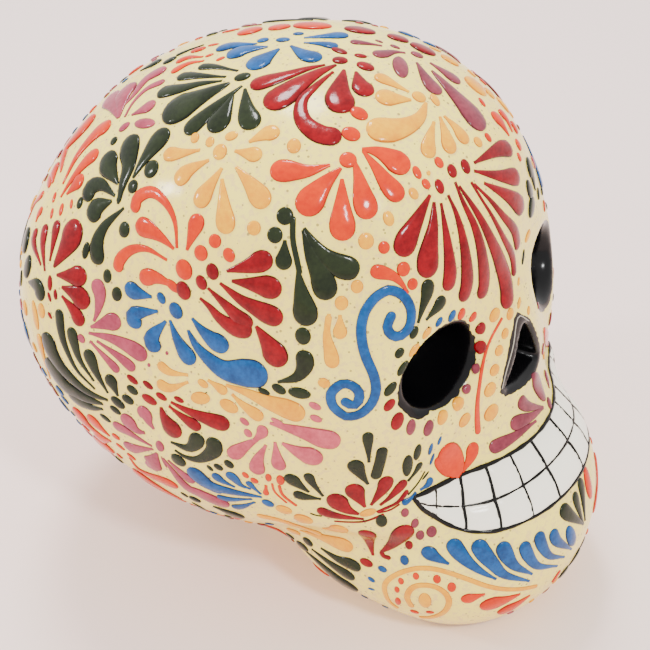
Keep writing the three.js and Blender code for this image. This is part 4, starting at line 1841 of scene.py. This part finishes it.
class SKULL_OT_stage(bpy.types.Operator):
    """Sets the pale floor, the soft lights and the camera"""

    bl_idname = "skull.stage"
    bl_label = "Stage"

    def execute(self, context):
        settings = context.scene.skull_stage
        size = settings.floor
        mesh = bpy.data.meshes.new("floor")
        corners = [(-size, -size, 0), (size, -size, 0), (size, size, 0), (-size, size, 0)]
        mesh.from_pydata(corners, [], [(0, 1, 2, 3)])
        mesh.materials.append(floor_material())
        make_object("floor", mesh)
        right, up, back = view_axes()
        data = bpy.data.cameras.new("camera")
        data.sensor_width = SENSOR_WIDTH
        data.lens = VIEW_FOCAL_PIXELS * SENSOR_WIDTH / VIEW_PIXELS
        camera = bpy.data.objects.new("camera", data)
        context.scene.collection.objects.link(camera)
        turned = Matrix((right, up, back)).transposed().to_4x4()
        camera.matrix_world = Matrix.Translation(view_place() * MM) @ turned
        context.scene.camera = camera
        world = bpy.data.worlds.new("room")
        context.scene.world = world
        world.use_nodes = True
        background = world.node_tree.nodes["Background"]
        background.inputs["Color"].default_value = (*ROOM_COLOUR, 1)
        background.inputs["Strength"].default_value = settings.room
        for name, lamp in LAMPS.items():
            light = bpy.data.lights.new(name, "AREA")
            light.shape = "DISK"
            light.energy = lamp.power * settings.lamps
            light.size = lamp.width
            hung = bpy.data.objects.new(name, light)
            hung.location = lamp.place
            hung.rotation_euler = (LAMP_TARGET - hung.location).to_track_quat("-Z", "Y").to_euler()
            context.scene.collection.objects.link(hung)
        return {"FINISHED"}


class SKULL_PT_panel(bpy.types.Panel):
    bl_label = "Ceramic Skull"
    bl_idname = "SKULL_PT_panel"
    bl_space_type = "VIEW_3D"
    bl_region_type = "UI"
    bl_category = "Skull"

    def draw(self, context):
        for settings in (context.scene.skull, context.scene.skull_stage):
            for name in settings.__annotations__:
                self.layout.prop(settings, name)
        for operator in STEPS:
            self.layout.operator(operator.bl_idname)


STEPS = (SKULL_OT_clay, SKULL_OT_mouth, SKULL_OT_strokes, SKULL_OT_stage)
CLASSES = (SkullSettings, SkullStageSettings) + STEPS + (SKULL_PT_panel,)


def register():
    for cls in CLASSES:
        bpy.utils.register_class(cls)
    bpy.types.Scene.skull = bpy.props.PointerProperty(type=SkullSettings)
    bpy.types.Scene.skull_stage = bpy.props.PointerProperty(type=SkullStageSettings)


def unregister():
    del bpy.types.Scene.skull_stage
    del bpy.types.Scene.skull
    for cls in reversed(CLASSES):
        bpy.utils.unregister_class(cls)


def main():
    register()
    bpy.ops.skull.clay()
    bpy.ops.skull.mouth()
    bpy.ops.skull.strokes()
    bpy.ops.skull.stage()


if __name__ == "__main__":
    main()
